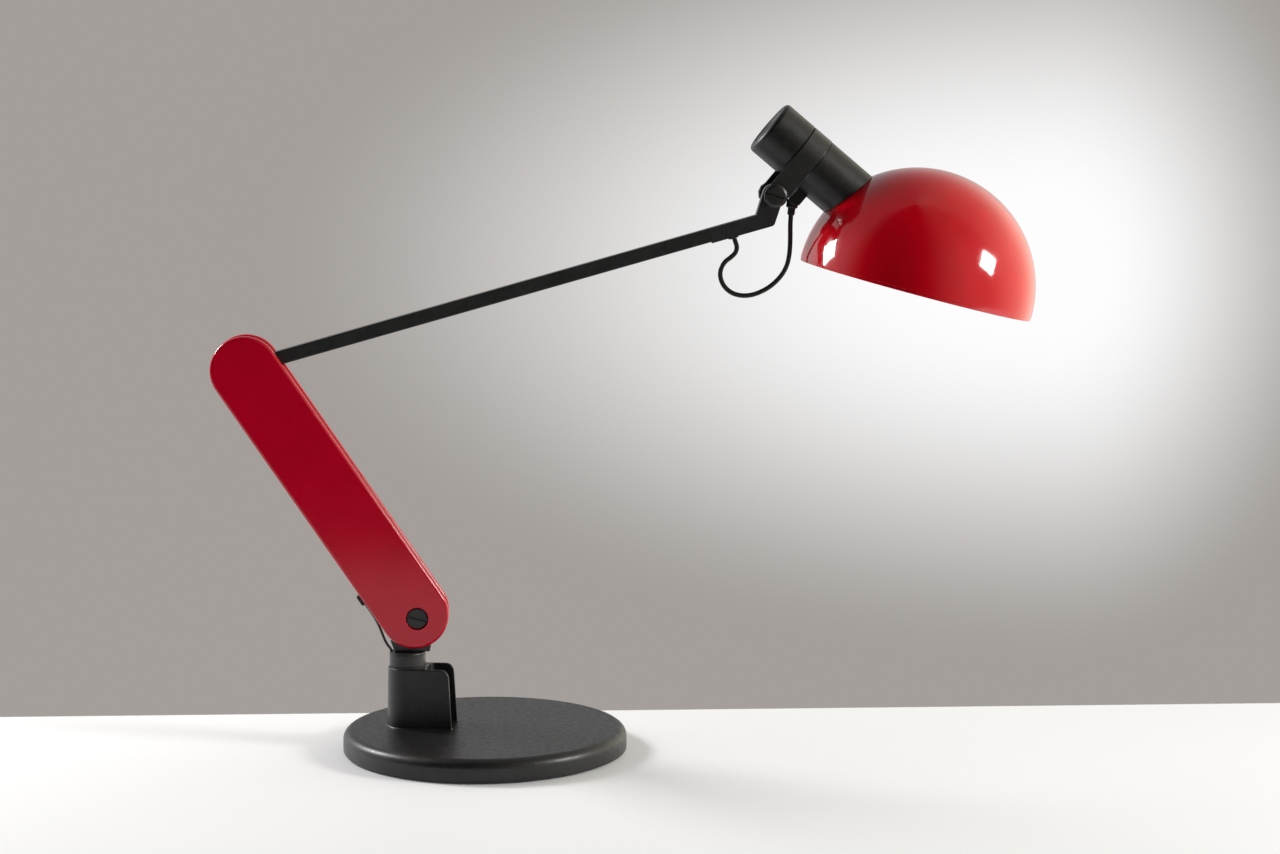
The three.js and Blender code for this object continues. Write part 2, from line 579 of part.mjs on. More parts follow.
  // Gland under the socket, with a rubber relief for the flex.
  const exit = rad(-56.6); // the flex leaves this far below the socket's axis
  const glandLow = 4.2, mouth = [16.5, 6];
  const aim = (g) => onX(g).rotateY(-exit).translate(mouth[0], 0, mouth[1]);
  add('cord_gland', 'black', cut(
    join(
      flat(shapeOf(hull([[12.3, 6.5], [14.5, glandLow], [20, glandLow], [22.2, 7.5], [22.2, 22], [12.3, 22]])),
        -6, 6, 0.8),
      aim(round(4.9, 0, -2, 5, 0.6, 28))),
    onAxis(round(socketRadius + gap, 0, -20, 60, 0, 64)),
    aim(round(headCordDia / 2 + 1.6, 0, -4, 6, 0, 24))));
  const reliefHole = headCordDia / 2 + 0.4;
  add('cord_relief', 'black', aim(turned([
    [reliefHole, -3], [reliefHole + 0.9, -3], [reliefHole + 0.9, 6], [reliefHole + 0.6, 11],
    [reliefHole, 11], [reliefHole, -3]], 24)));

  // Head cord: from the relief, down round a loose loop and up into the bar.
  const start = along(headHinge, headTilt, mouth[0] + 6 * Math.cos(exit), mouth[1] + 6 * Math.sin(exit));
  const end = along(upperPivot, barRise, cordEntry, -barDrop - barHigh / 2 - castingDrop + 3);
  const y = postY;
  const loop = [
    [259.3, y, 457.8], [258.7, y, 452], [258.3, y, 444], [258.3, y, 435.5], [258.1, y, 427], [257.4, y, 419],
    [255.6, y, 411.2], [252.1, y, 404], [247, y, 397.8], [240.9, y, 392.6], [234, y, 388.7], [226.4, y, 386],
    [218.5, y, 385.3], [211, y, 386.9], [204.9, y, 390.8], [200.9, y, 396.4], [199.3, y, 402.8],
    [200.4, y, 409], [203.6, y, 413.9], [208, y, 417.4], [211.6, y, 421], [213, y, 425.4], [211.9, y, 430.2],
    [210.3, y, 434.3], [209.1, y, 437.4],
  ];
  lamp.add(cordMesh('head_cord', cord(loop, start, end, headCordDia, 26)));
}

// Short lead from the grommet on the lower arm into the top of the post.
{
  const start = along(lowerPivot, lowerLean, -plateRadius - leadOut, 37);
  const end = new THREE.Vector3(postX - postRadius + 2.2, postY, postTop - 6);
  const y = postY;
  const route = [
    [-100.9, y, 129], [-98.7, y, 125.7], [-96.5, y, 122.4], [-94.4, y, 119], [-92.3, y, 115.4],
    [-90.4, y, 111.7], [-88.7, y, 107.9], [-87.2, y, 104], [-85.9, y, 100.1], [-84.6, y, 96.2],
    [-83.2, y, 92.5], [-81.5, y, 89.3], [-79.7, y, 86.7], [-78.7, y, 84.2], [-78.5, y, 81.4], [-78.5, y, 78],
  ];
  lamp.add(cordMesh('lower_lead', cord(route, start, end, leadDia, 14)));
}

function cordMesh(name, geometry) {
  const g = geometry.toNonIndexed();
  g.computeVertexNormals();
  const mesh = new THREE.Mesh(g, finishes.black);
  mesh.name = name;
  return mesh;
}

export default lamp;
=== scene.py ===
import json
import logging
import math
from dataclasses import dataclass
from enum import Enum
from itertools import pairwise
from typing import Callable, Iterable

import bpy
from mathutils import Matrix, Vector


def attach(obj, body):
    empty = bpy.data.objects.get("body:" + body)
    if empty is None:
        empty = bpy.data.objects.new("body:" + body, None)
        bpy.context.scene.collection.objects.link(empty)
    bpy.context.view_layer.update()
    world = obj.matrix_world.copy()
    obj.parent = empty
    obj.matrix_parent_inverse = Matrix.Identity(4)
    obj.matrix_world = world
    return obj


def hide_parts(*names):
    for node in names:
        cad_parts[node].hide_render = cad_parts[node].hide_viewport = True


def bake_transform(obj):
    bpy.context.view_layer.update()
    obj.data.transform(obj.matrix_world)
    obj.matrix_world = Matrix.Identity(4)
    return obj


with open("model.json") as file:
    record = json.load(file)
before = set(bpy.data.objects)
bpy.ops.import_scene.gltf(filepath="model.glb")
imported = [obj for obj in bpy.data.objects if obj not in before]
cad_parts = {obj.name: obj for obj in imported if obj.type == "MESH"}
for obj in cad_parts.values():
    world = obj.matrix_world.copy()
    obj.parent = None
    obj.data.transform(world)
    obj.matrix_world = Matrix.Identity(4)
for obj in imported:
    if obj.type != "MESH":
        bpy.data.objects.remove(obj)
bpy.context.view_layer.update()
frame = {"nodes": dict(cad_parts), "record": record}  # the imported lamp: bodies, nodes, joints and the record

MM = 0.001
Pair = tuple[float, float]
Triple = tuple[float, float, float]
Colour = Triple
Piece = bpy.types.Object
log = logging.getLogger("lamp")

RECORD = frame["record"]
BODY_OF = {node: body for body, nodes in RECORD["behaviour"]["bodies"].items() for node in nodes}
JOINT = {joint["name"]: joint for joint in RECORD["behaviour"]["joints"]}


class Axis(Enum):
    """The direction in which a slab is thick or a rod is long."""

    X = 0
    Y = 1
    Z = 2

    def point(self, u: float, v: float, along: float) -> Vector:
        """Gives the point at `along` on this axis and at u, v on the other two."""
        return Vector({0: (along, u, v), 1: (u, along, v), 2: (u, v, along)}[self.value])

    def turn(self) -> Triple:
        """Gives the turn that lays an upright rod along this axis."""
        return {0: (0, math.pi / 2, 0), 1: (math.pi / 2, 0, 0), 2: (0, 0, 0)}[self.value]


class Join(Enum):
    """How a tool meets the piece it is used on."""

    ADD = "UNION"
    CUT = "DIFFERENCE"
    COMMON = "INTERSECT"


# ------------------------------------------------------------------------- outlines
def arc(centre: Pair, radius: float, start: float, end: float, steps: int) -> list[Pair]:
    """Gives points on an arc.

    Args:
        centre: middle of the arc.
        radius: its radius.
        start: first angle in degrees, from the first axis towards the second.
        end: last angle in degrees.
        steps: number of equal steps between them.

    Returns:
        The points, both ends included.
    """
    angles = [math.radians(start + (end - start) * i / steps) for i in range(steps + 1)]
    return [(centre[0] + radius * math.cos(a), centre[1] + radius * math.sin(a)) for a in angles]


def circle(centre: Pair, radius: float, count: int = 64) -> list[Pair]:
    """Gives `count` points round a circle."""
    return arc(centre, radius, 0, 360, count)[:-1]


def hull(points: Iterable[Pair]) -> list[Pair]:
    """Gives the outline round a set of points.

    Args:
        points: the points, in any order.

    Returns:
        The corners of the outline, in order.
    """
    ordered = sorted(points)

    def turn(a: Pair, b: Pair, c: Pair) -> float:
        """Gives how far the line turns at `b`."""
        return (b[0] - a[0]) * (c[1] - a[1]) - (b[1] - a[1]) * (c[0] - a[0])

    def chain(row: list[Pair]) -> list[Pair]:
        """Gives one side of the outline."""
        out: list[Pair] = []
        for p in row:
            while len(out) > 1 and turn(out[-2], out[-1], p) <= 1e-9:
                out.pop()
            out.append(p)
        return out[:-1]

    return chain(ordered) + chain(ordered[::-1])


# ------------------------------------------------------------------------- the bench
class Bench:
    """Shapes one piece at a time with the modelling operators, in millimetres."""

    @staticmethod
    def clear() -> None:
        """Leaves edit mode and deselects every object."""
        if bpy.context.object and bpy.context.object.mode != "OBJECT":
            bpy.ops.object.mode_set(mode="OBJECT")
        bpy.ops.object.select_all(action="DESELECT")

    @classmethod
    def take(cls, piece: Piece, edit: bool = False) -> Piece:
        """Makes one piece the only selected and active one.

        Args:
            piece: the piece to work on.
            edit: whether to enter edit mode with all of it selected.

        Returns:
            The same piece.
        """
        cls.clear()
        piece.select_set(True)
        bpy.context.view_layer.objects.active = piece
        if edit:
            bpy.ops.object.mode_set(mode="EDIT")
            bpy.ops.mesh.select_all(action="SELECT")
        return piece

    @classmethod
    def tidy(cls, piece: Piece) -> Piece:
        """Merges doubles, then makes the faces look outwards."""
        cls.take(piece, edit=True)
        bpy.ops.mesh.remove_doubles(threshold=1e-4)
        bpy.ops.mesh.normals_make_consistent(inside=False)
        bpy.ops.object.mode_set(mode="OBJECT")
        return piece

    @classmethod
    def line(cls, name: str, points: list[Vector]) -> Piece:
        """Draws a line by extruding one corner from point to point.

        Args:
            name: name of the piece.
            points: the corners of the line.

        Returns:
            The line, in edit mode with its last corner selected.
        """
        cls.clear()
        bpy.ops.mesh.primitive_plane_add(size=1, location=points[0])
        piece = bpy.context.object
        piece.name = name
        bpy.ops.object.transform_apply(location=True, rotation=True, scale=True)
        bpy.ops.object.mode_set(mode="EDIT")
        bpy.ops.mesh.select_all(action="SELECT")
        bpy.ops.mesh.merge(type="CENTER")
        for here, there in pairwise(points):
            bpy.ops.mesh.extrude_region_move(TRANSFORM_OT_translate={"value": there - here})
        return piece

    @classmethod
    def turned(cls, name: str, profile: list[Pair], sides: int = 96) -> Piece:
        """Turns a profile about the upright axis.

        Args:
            name: name of the piece.
            profile: (radius, height) corners, from axis to axis or a closed loop.
            sides: steps of the full turn.

        Returns:
            The closed piece.
        """
        piece = cls.line(name, [Vector((r, 0, h)) for r, h in profile])
        bpy.ops.mesh.select_all(action="SELECT")
        bpy.ops.mesh.spin(steps=sides, angle=2 * math.pi, center=(0, 0, 0), axis=(0, 0, 1))
        return cls.tidy(piece)

    @classmethod
    def slab(cls, name: str, outline: list[Pair], start: float, end: float,
             axis: Axis = Axis.Y) -> Piece:
        """Makes a flat piece from its outline.

        Args:
            name: name of the piece.
            outline: corners of the outline, in order.
            start: where its thickness starts.
            end: where it ends.
            axis: direction of the thickness.

        Returns:
            The closed piece.
        """
        piece = cls.line(name, [axis.point(u, v, start) for u, v in outline])
        bpy.ops.mesh.select_all(action="SELECT")
        bpy.ops.mesh.edge_face_add()
        bpy.ops.mesh.extrude_region_move(TRANSFORM_OT_translate={"value": axis.point(0, 0, end - start)})
        return cls.tidy(piece)

    @classmethod
    def rod(cls, radius: float, start: float, end: float, at: Pair = (0, 0), axis: Axis = Axis.Y,
            sides: int = 64) -> Piece:
        """Makes a round tool, such as a drill.

        Args:
            radius: its radius.
            start: where it starts along the axis.
            end: where it ends.
            at: its place on the other two axes.
            axis: its direction.
            sides: number of sides.

        Returns:
            The tool.
        """
        cls.clear()
        bpy.ops.mesh.primitive_cylinder_add(
            vertices=sides, radius=radius, depth=end - start,
            location=axis.point(*at, (start + end) / 2), rotation=axis.turn())
        return bpy.context.object

    @classmethod
    def block(cls, name: str, low: Triple, high: Triple) -> Piece:
        """Starts a piece, or a tool, as a box between two corners."""
        cls.clear()
        middle, size = (Vector(low) + Vector(high)) / 2, Vector(high) - Vector(low)
        bpy.ops.mesh.primitive_cube_add(size=1, location=middle, scale=size)
        bpy.ops.object.transform_apply(location=True, rotation=True, scale=True)
        bpy.context.object.name = name
        return bpy.context.object

    @classmethod
    def meet(cls, piece: Piece, how: Join, *tools: Piece) -> Piece:
        """Adds, cuts away or keeps what the tools cover, and uses the tools up.

        Args:
            piece: the piece to change.
            how: what happens where they meet.
            tools: the other solids.

        Returns:
            The same piece.
        """
        for tool in tools:
            cls.take(piece)
            modifier = piece.modifiers.new("meet", "BOOLEAN")
            modifier.operation, modifier.object, modifier.solver = how.value, tool, "EXACT"
            bpy.ops.object.modifier_apply(modifier=modifier.name)
            bpy.data.objects.remove(tool, do_unlink=True)
        return piece

    @classmethod
    def soften(cls, piece: Piece, width: float, steps: int = 3, above: float = 40) -> Piece:
        """Rounds the edges that are sharper than an angle.

        Args:
            piece: the piece to change.
            width: width of the round.
            steps: facets across it.
            above: least angle in degrees between the faces of a sharp edge.

        Returns:
            The same piece.
        """
        cls.take(piece)
        modifier = piece.modifiers.new("soften", "BEVEL")
        modifier.width, modifier.segments, modifier.limit_method = width, steps, "ANGLE"
        modifier.angle_limit, modifier.miter_outer = math.radians(above), "MITER_ARC"
        bpy.ops.object.modifier_apply(modifier=modifier.name)
        return piece

    @classmethod
    def round_edges(cls, piece: Piece, width: float, steps: int,
                    wanted: Callable[[Vector, Vector], bool], above: float = 0) -> Piece:
        """Rounds only the edges whose two ends pass a test.

        Args:
            piece: the piece to change.
            width: width of the round.
            steps: facets across it.
            wanted: the test, given the two ends of an edge.
            above: least angle in degrees between the faces of such an edge.

        Returns:
            The same piece.
        """
        cls.take(piece, edit=True)
        bpy.ops.mesh.select_mode(type="EDGE")
        bpy.ops.mesh.select_all(action="DESELECT")
        if above:
            bpy.ops.mesh.edges_select_sharp(sharpness=math.radians(above))
        bpy.ops.object.mode_set(mode="OBJECT")
        corners = piece.data.vertices
        for edge in piece.data.edges:
            sharp = edge.select or not above
            edge.select = sharp and wanted(corners[edge.vertices[0]].co, corners[edge.vertices[1]].co)
        bpy.ops.object.mode_set(mode="EDIT")
        bpy.ops.mesh.bevel(offset=width, segments=steps, affect="EDGES", clamp_overlap=True)
        bpy.ops.mesh.select_mode(type="VERT")
        bpy.ops.object.mode_set(mode="OBJECT")
        return piece


# ------------------------------------------------------------------------- shader sums
class Value:
    """A shader output that can be used in sums."""

    def __init__(self, graph: "Graph", output: bpy.types.NodeSocket) -> None:
        """Keeps the output and the graph it belongs to."""
        self.graph, self.output = graph, output

    def _sum(self, operation: str, left: "Value | float", right: "Value | float") -> "Value":
        """Adds a Math node for two values."""
        return self.graph.node("ShaderNodeMath", {"operation": operation}, {0: left, 1: right})

    def __add__(self, other: "Value | float") -> "Value":
        """Adds."""
        return self._sum("ADD", self, other)

    def __sub__(self, other: "Value | float") -> "Value":
        """Takes away."""
        return self._sum("SUBTRACT", self, other)

    def __rsub__(self, other: "Value | float") -> "Value":
        """Takes this from a number."""
        return self._sum("SUBTRACT", other, self)

    def __mul__(self, other: "Value | float") -> "Value":
        """Multiplies."""
        return self._sum("MULTIPLY", self, other)

    __radd__ = __add__
    __rmul__ = __mul__

    def __abs__(self) -> "Value":
        """Drops the sign."""
        return self._sum("ABSOLUTE", self, 0.0)

    def ramp(self, low: float, high: float) -> "Value":
        """Rises smoothly from 0 at `low` to 1 at `high`."""
        return self.graph.node("ShaderNodeMapRange", {"interpolation_type": "SMOOTHSTEP"},
                               {"Value": self, "From Min": low, "From Max": high})


class Graph:
    """The nodes of one finish."""

    def __init__(self, tree: bpy.types.NodeTree) -> None:
        """Starts on an existing tree."""
        self.tree = tree

    def node(self, kind: str, settings: dict | None = None, inputs: dict | None = None,
             output: int | str = 0) -> Value:
        """Adds a node.

        Args:
            kind: the node's type.
            settings: its own settings, set before its sockets.
            inputs: values or links, by socket name or number.
            output: name or number of the output that is wanted.

        Returns:
            That output.
        """
        made = self.tree.nodes.new(kind)
        for key, value in (settings or {}).items():
            setattr(made, key, value)
        self.feed(made, inputs or {})
        return Value(self, made.outputs[output])

    def feed(self, target: bpy.types.Node, inputs: dict) -> None:
        """Sets or links the sockets of a node."""
        for key, value in inputs.items():
            if isinstance(value, Value):
                self.tree.links.new(value.output, target.inputs[key])
            else:
                target.inputs[key].default_value = value

    def blend(self, share: "Value | float", first: "Value | tuple", second: "Value | tuple") -> Value:
        """Mixes two colours."""
        return self.node("ShaderNodeMix", {"data_type": "RGBA"}, {0: share, 6: first, 7: second}, 2)


# ------------------------------------------------------------------------- finishes
DUST = (0.55, 0.53, 0.5, 1.0)  # colour of settled specks
SPECK_SPACING = 0.004
COAT_DULL = 0.04


@dataclass(frozen=True)
class Finish:
    """A surface: its colour, how dull it is, and its fine relief. Lengths are in metres."""

    name: str
    colour: Colour
    dull: Pair = (0.4, 0.5)  # roughness of the smoothest and the dullest spots
    metal: float = 0.0
    coat: float = 0.0
    drift: float = 0.12  # share by which the colour changes from patch to patch
    patch: float = 0.03
    grain: float = 0.0011
    depth: float = 0.00003
    dust: float = 0.25  # strength of the settled specks

    def place(self, graph: Graph) -> Value:
        """Gives the coordinates that the patterns follow."""
        return graph.node("ShaderNodeTexCoord", output="Object")

    def noise(self, graph: Graph, size: float, detail: float = 3.0) -> Value:
        """Gives soft noise with features of about `size`."""
        return graph.node("ShaderNodeTexNoise", {}, {
            "Vector": self.place(graph), "Scale": 1 / size, "Detail": detail})

    def specks(self, graph: Graph, spacing: float) -> Value:
        """Gives scattered round specks, one in each of some cells."""
        cell = graph.node("ShaderNodeTexVoronoi", {}, {
            "Vector": self.place(graph), "Scale": 1 / spacing})
        patchy = self.noise(graph, spacing * 4).ramp(0.52, 0.7)
        return (1 - cell.ramp(0.05, 0.12)) * patchy

    def relief(self, graph: Graph) -> Value:
        """Gives the height of the fine relief."""
        return self.noise(graph, self.grain, 4.0) * self.depth

    def material(self) -> bpy.types.Material:
        """Makes the material once.

        Returns:
            The material, new or made before.
        """
        known = bpy.data.materials.get(self.name)
        if known:
            return known
        made = bpy.data.materials.new(self.name)
        made.use_nodes = True
        graph = Graph(made.node_tree)
        shader = made.node_tree.nodes["Principled BSDF"]
        patches = self.noise(graph, self.patch).ramp(0.3, 0.7)
        specks = self.specks(graph, SPECK_SPACING)
        dark = tuple(c * (1 - self.drift) for c in self.colour) + (1.0,)
        light = tuple(min(1.0, c * (1 + self.drift)) for c in self.colour) + (1.0,)
        colour = graph.blend(patches, dark, light)
        colour = graph.blend(specks * self.dust, colour, DUST)
        fine = self.noise(graph, self.patch / 6, 4.0).ramp(0.25, 0.75)
        dull = self.dull[0] + fine * (self.dull[1] - self.dull[0]) + specks * (self.dust * 0.4)
        normal = graph.node("ShaderNodeBump", {}, {
            "Height": self.relief(graph), "Distance": 1.0, "Strength": 1.0})
        graph.feed(shader, {
            "Base Color": colour, "Roughness": dull, "Normal": normal,
            "Metallic": self.metal, "Coat Weight": self.coat, "Coat Roughness": COAT_DULL})
        self.extras(graph, shader)
        return made

    def extras(self, graph: Graph, shader: bpy.types.Node) -> None:
        """Sets what only some finishes have."""


@dataclass(frozen=True)
class Lacquer(Finish):
    """Gloss lacquer: a little orange peel, hairline marks and dust."""

    peel: float = 0.0022
    peel_depth: float = 0.000004
    mark_depth: float = 0.000006

    def relief(self, graph: Graph) -> Value:
        """Gives orange peel with hairlines scratched into it."""
        stretched = graph.node("ShaderNodeMapping", {}, {
            "Vector": self.place(graph), "Rotation": (0.4, 0.9, 0.3), "Scale": (500.0, 500.0, 9.0)})
        streak = graph.node("ShaderNodeTexNoise", {}, {"Vector": stretched, "Scale": 1.0, "Detail": 1.0})
        hairline = 1 - abs(streak - 0.5).ramp(0.0, 0.015)
        patchy = self.noise(graph, 0.02).ramp(0.5, 0.62)
        return self.noise(graph, self.peel, 1.0) * self.peel_depth - hairline * patchy * self.mark_depth


@dataclass(frozen=True)
class Brushed(Finish):
    """Bright metal with fine lines from the tool."""

    def relief(self, graph: Graph) -> Value:
        """Gives fine parallel lines."""
        stretched = graph.node("ShaderNodeMapping", {}, {
            "Vector": self.place(graph), "Scale": (60.0, 60.0, 2600.0)})
        return graph.node("ShaderNodeTexNoise", {}, {"Vector": stretched, "Scale": 1.0}) * self.depth


@dataclass(frozen=True)
class Opal(Finish):
    """Opal glass or enamel that scatters light under its skin."""

    def extras(self, graph: Graph, shader: bpy.types.Node) -> None:
        """Lets light into the skin."""
        graph.feed(shader, {"Subsurface Weight": 0.25, "Subsurface Scale": 0.002})


RED_PLATE = Lacquer("red_plate_lacquer", (0.48, 0.0004, 0.0175), (0.11, 0.17), drift=0.04, dust=0.02)
RED_SHADE = Lacquer("red_shade_lacquer", (0.51, 0.0010, 0.0085), (0.07, 0.12), coat=0.3, drift=0.04,
                    dust=0.02)
WHITE_ENAMEL = Lacquer("white_shade_enamel", (0.80, 0.78, 0.73), (0.28, 0.38), drift=0.03, dust=0.1)
IRON = Finish("black_iron_enamel", (0.008, 0.008, 0.0087), (0.33, 0.45), drift=0.2, grain=0.0016,
              depth=0.000032, dust=0.18)
ALLOY = Finish("black_alloy", (0.017, 0.0165, 0.0175), (0.34, 0.46), drift=0.15, grain=0.0012,
               depth=0.00002)
PAINTED_STEEL = Finish("black_steel_paint", (0.014, 0.014, 0.0144), (0.32, 0.42), drift=0.15,
                       grain=0.0012, depth=0.00002, dust=0.1)
MOULDED = Finish("black_moulding", (0.006, 0.0061, 0.0063), (0.34, 0.46), drift=0.15, grain=0.0009,
                 dust=0.15)
GLOSS_BUTTON = Lacquer("gloss_button", (0.015, 0.015, 0.016), (0.10, 0.18), drift=0.1, dust=0.1)
RUBBER = Finish("black_rubber", (0.014, 0.014, 0.0145), (0.55, 0.7), drift=0.2, grain=0.0008,
                depth=0.00004)
FLEX = Finish("black_flex", (0.012, 0.012, 0.0125), (0.35, 0.45), drift=0.15, grain=0.0008,
              depth=0.00001)
STEEL = Brushed("plain_steel", (0.56, 0.56, 0.57), (0.25, 0.4), metal=1.0, depth=0.000012)
BRASS = Brushed("bush_brass", (0.62, 0.45, 0.19), (0.28, 0.42), metal=1.0, depth=0.000012)
ACETAL = Finish("dark_acetal", (0.03, 0.03, 0.031), (0.35, 0.45), dust=0.1)
NYLON = Finish("washer_nylon", (0.62, 0.60, 0.54))
PALE = Finish("pale_moulding", (0.66, 0.64, 0.60), (0.35, 0.45))
CERAMIC = Finish("glazed_ceramic", (0.78, 0.76, 0.71), (0.12, 0.2), coat=0.4, depth=0.00001, grain=0.003)
CAP_ALLOY = Brushed("bulb_cap_alloy", (0.62, 0.62, 0.63), (0.25, 0.35), metal=1.0, depth=0.00001)
OPAL = Opal("opal_bulb", (0.86, 0.85, 0.82), (0.25, 0.32), depth=0.000004, drift=0.02, dust=0.05)


# ------------------------------------------------------------------------- placing pieces
def turned_place(origin: Vector, turn: float, axis: str = "Y") -> Matrix:
    """Gives the place of a turned group, for shapes in millimetres.

    Args:
        origin: its origin in metres.
        turn: its turn in radians.
        axis: the axis it is turned about.

    Returns:
        The matrix from the group's millimetres to the lamp's metres.
    """
    return Matrix.Translation(origin) @ Matrix.Rotation(turn, 4, axis) @ Matrix.Scale(MM, 4)


ALONG_X = Matrix.Rotation(math.pi / 2, 4, "Y")  # lays a turned piece's axis along +X
ALONG_Y = Matrix.Rotation(-math.pi / 2, 4, "X")  # and along +Y


def shift(x: float = 0, y: float = 0, z: float = 0) -> Matrix:
    """Gives a move in the group's own millimetres."""
    return Matrix.Translation((x, y, z))


def fit(piece: Piece, node: str, place: Matrix, finish: Finish,
        smooth: float = 35) -> Piece:
    """Puts a finished piece in its place, dresses it and lets it stand for its CAD node.

    Args:
        piece: the piece, modelled in its group's millimetres.
        node: the CAD node it stands for.
        place: matrix of the group.
        finish: its finish.
        smooth: edges under this angle, in degrees, are shaded smooth.

    Returns:
        The same piece.
    """
    Bench.take(piece)
    piece.matrix_world = place @ piece.matrix_world
    bpy.ops.object.transform_apply(location=True, rotation=True, scale=True)
    piece.name = f"{node}_finished"
    piece.data.name = piece.name
    if not piece.data.materials:
        piece.data.materials.append(finish.material())
    bpy.ops.object.shade_smooth_by_angle(angle=math.radians(smooth))
    modifier = piece.modifiers.new("flat_faces", "WEIGHTED_NORMAL")
    modifier.keep_sharp, modifier.weight = True, 100
    bpy.ops.object.modifier_apply(modifier=modifier.name)
    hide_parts(node)
    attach(piece, BODY_OF[node])
    log.info("%s: %d faces", piece.name, len(piece.data.polygons))
    return piece


def dress(finish: Finish, *nodes: str) -> None:
    """Gives CAD nodes that keep their shape a finish."""
    for node in nodes:
        for slot in frame["nodes"][node].material_slots:
            slot.material = finish.material()
        log.info("%s keeps its shape, in %s", node, finish.name)


POST_AXIS = Vector(JOINT["base_swivel"]["pos_m"])
LOWER_PIVOT = Vector(JOINT["lower_arm_tilt"]["pos_m"])
UPPER_PIVOT = Vector(JOINT["upper_arm_tilt"]["pos_m"])
HEAD_HINGE = Vector(JOINT["head_tilt"]["pos_m"])
HINGE_ALONG = 464.9  # upper pivot to the head hinge, along the bar
HINGE_ABOVE = 16.5  # and square to it
SLOT_HALF = 0.85  # half the width of a screw's slot, in millimetres
ARM = UPPER_PIVOT - LOWER_PIVOT
REACH = HEAD_HINGE - UPPER_PIVOT
LEAN = math.atan2(ARM.x, ARM.z)
RISE = math.atan2(HINGE_ABOVE, HINGE_ALONG) - math.atan2(REACH.z, REACH.x)
TILT = math.atan2(-JOINT["switch_press"]["axis"][2], JOINT["switch_press"]["axis"][0])


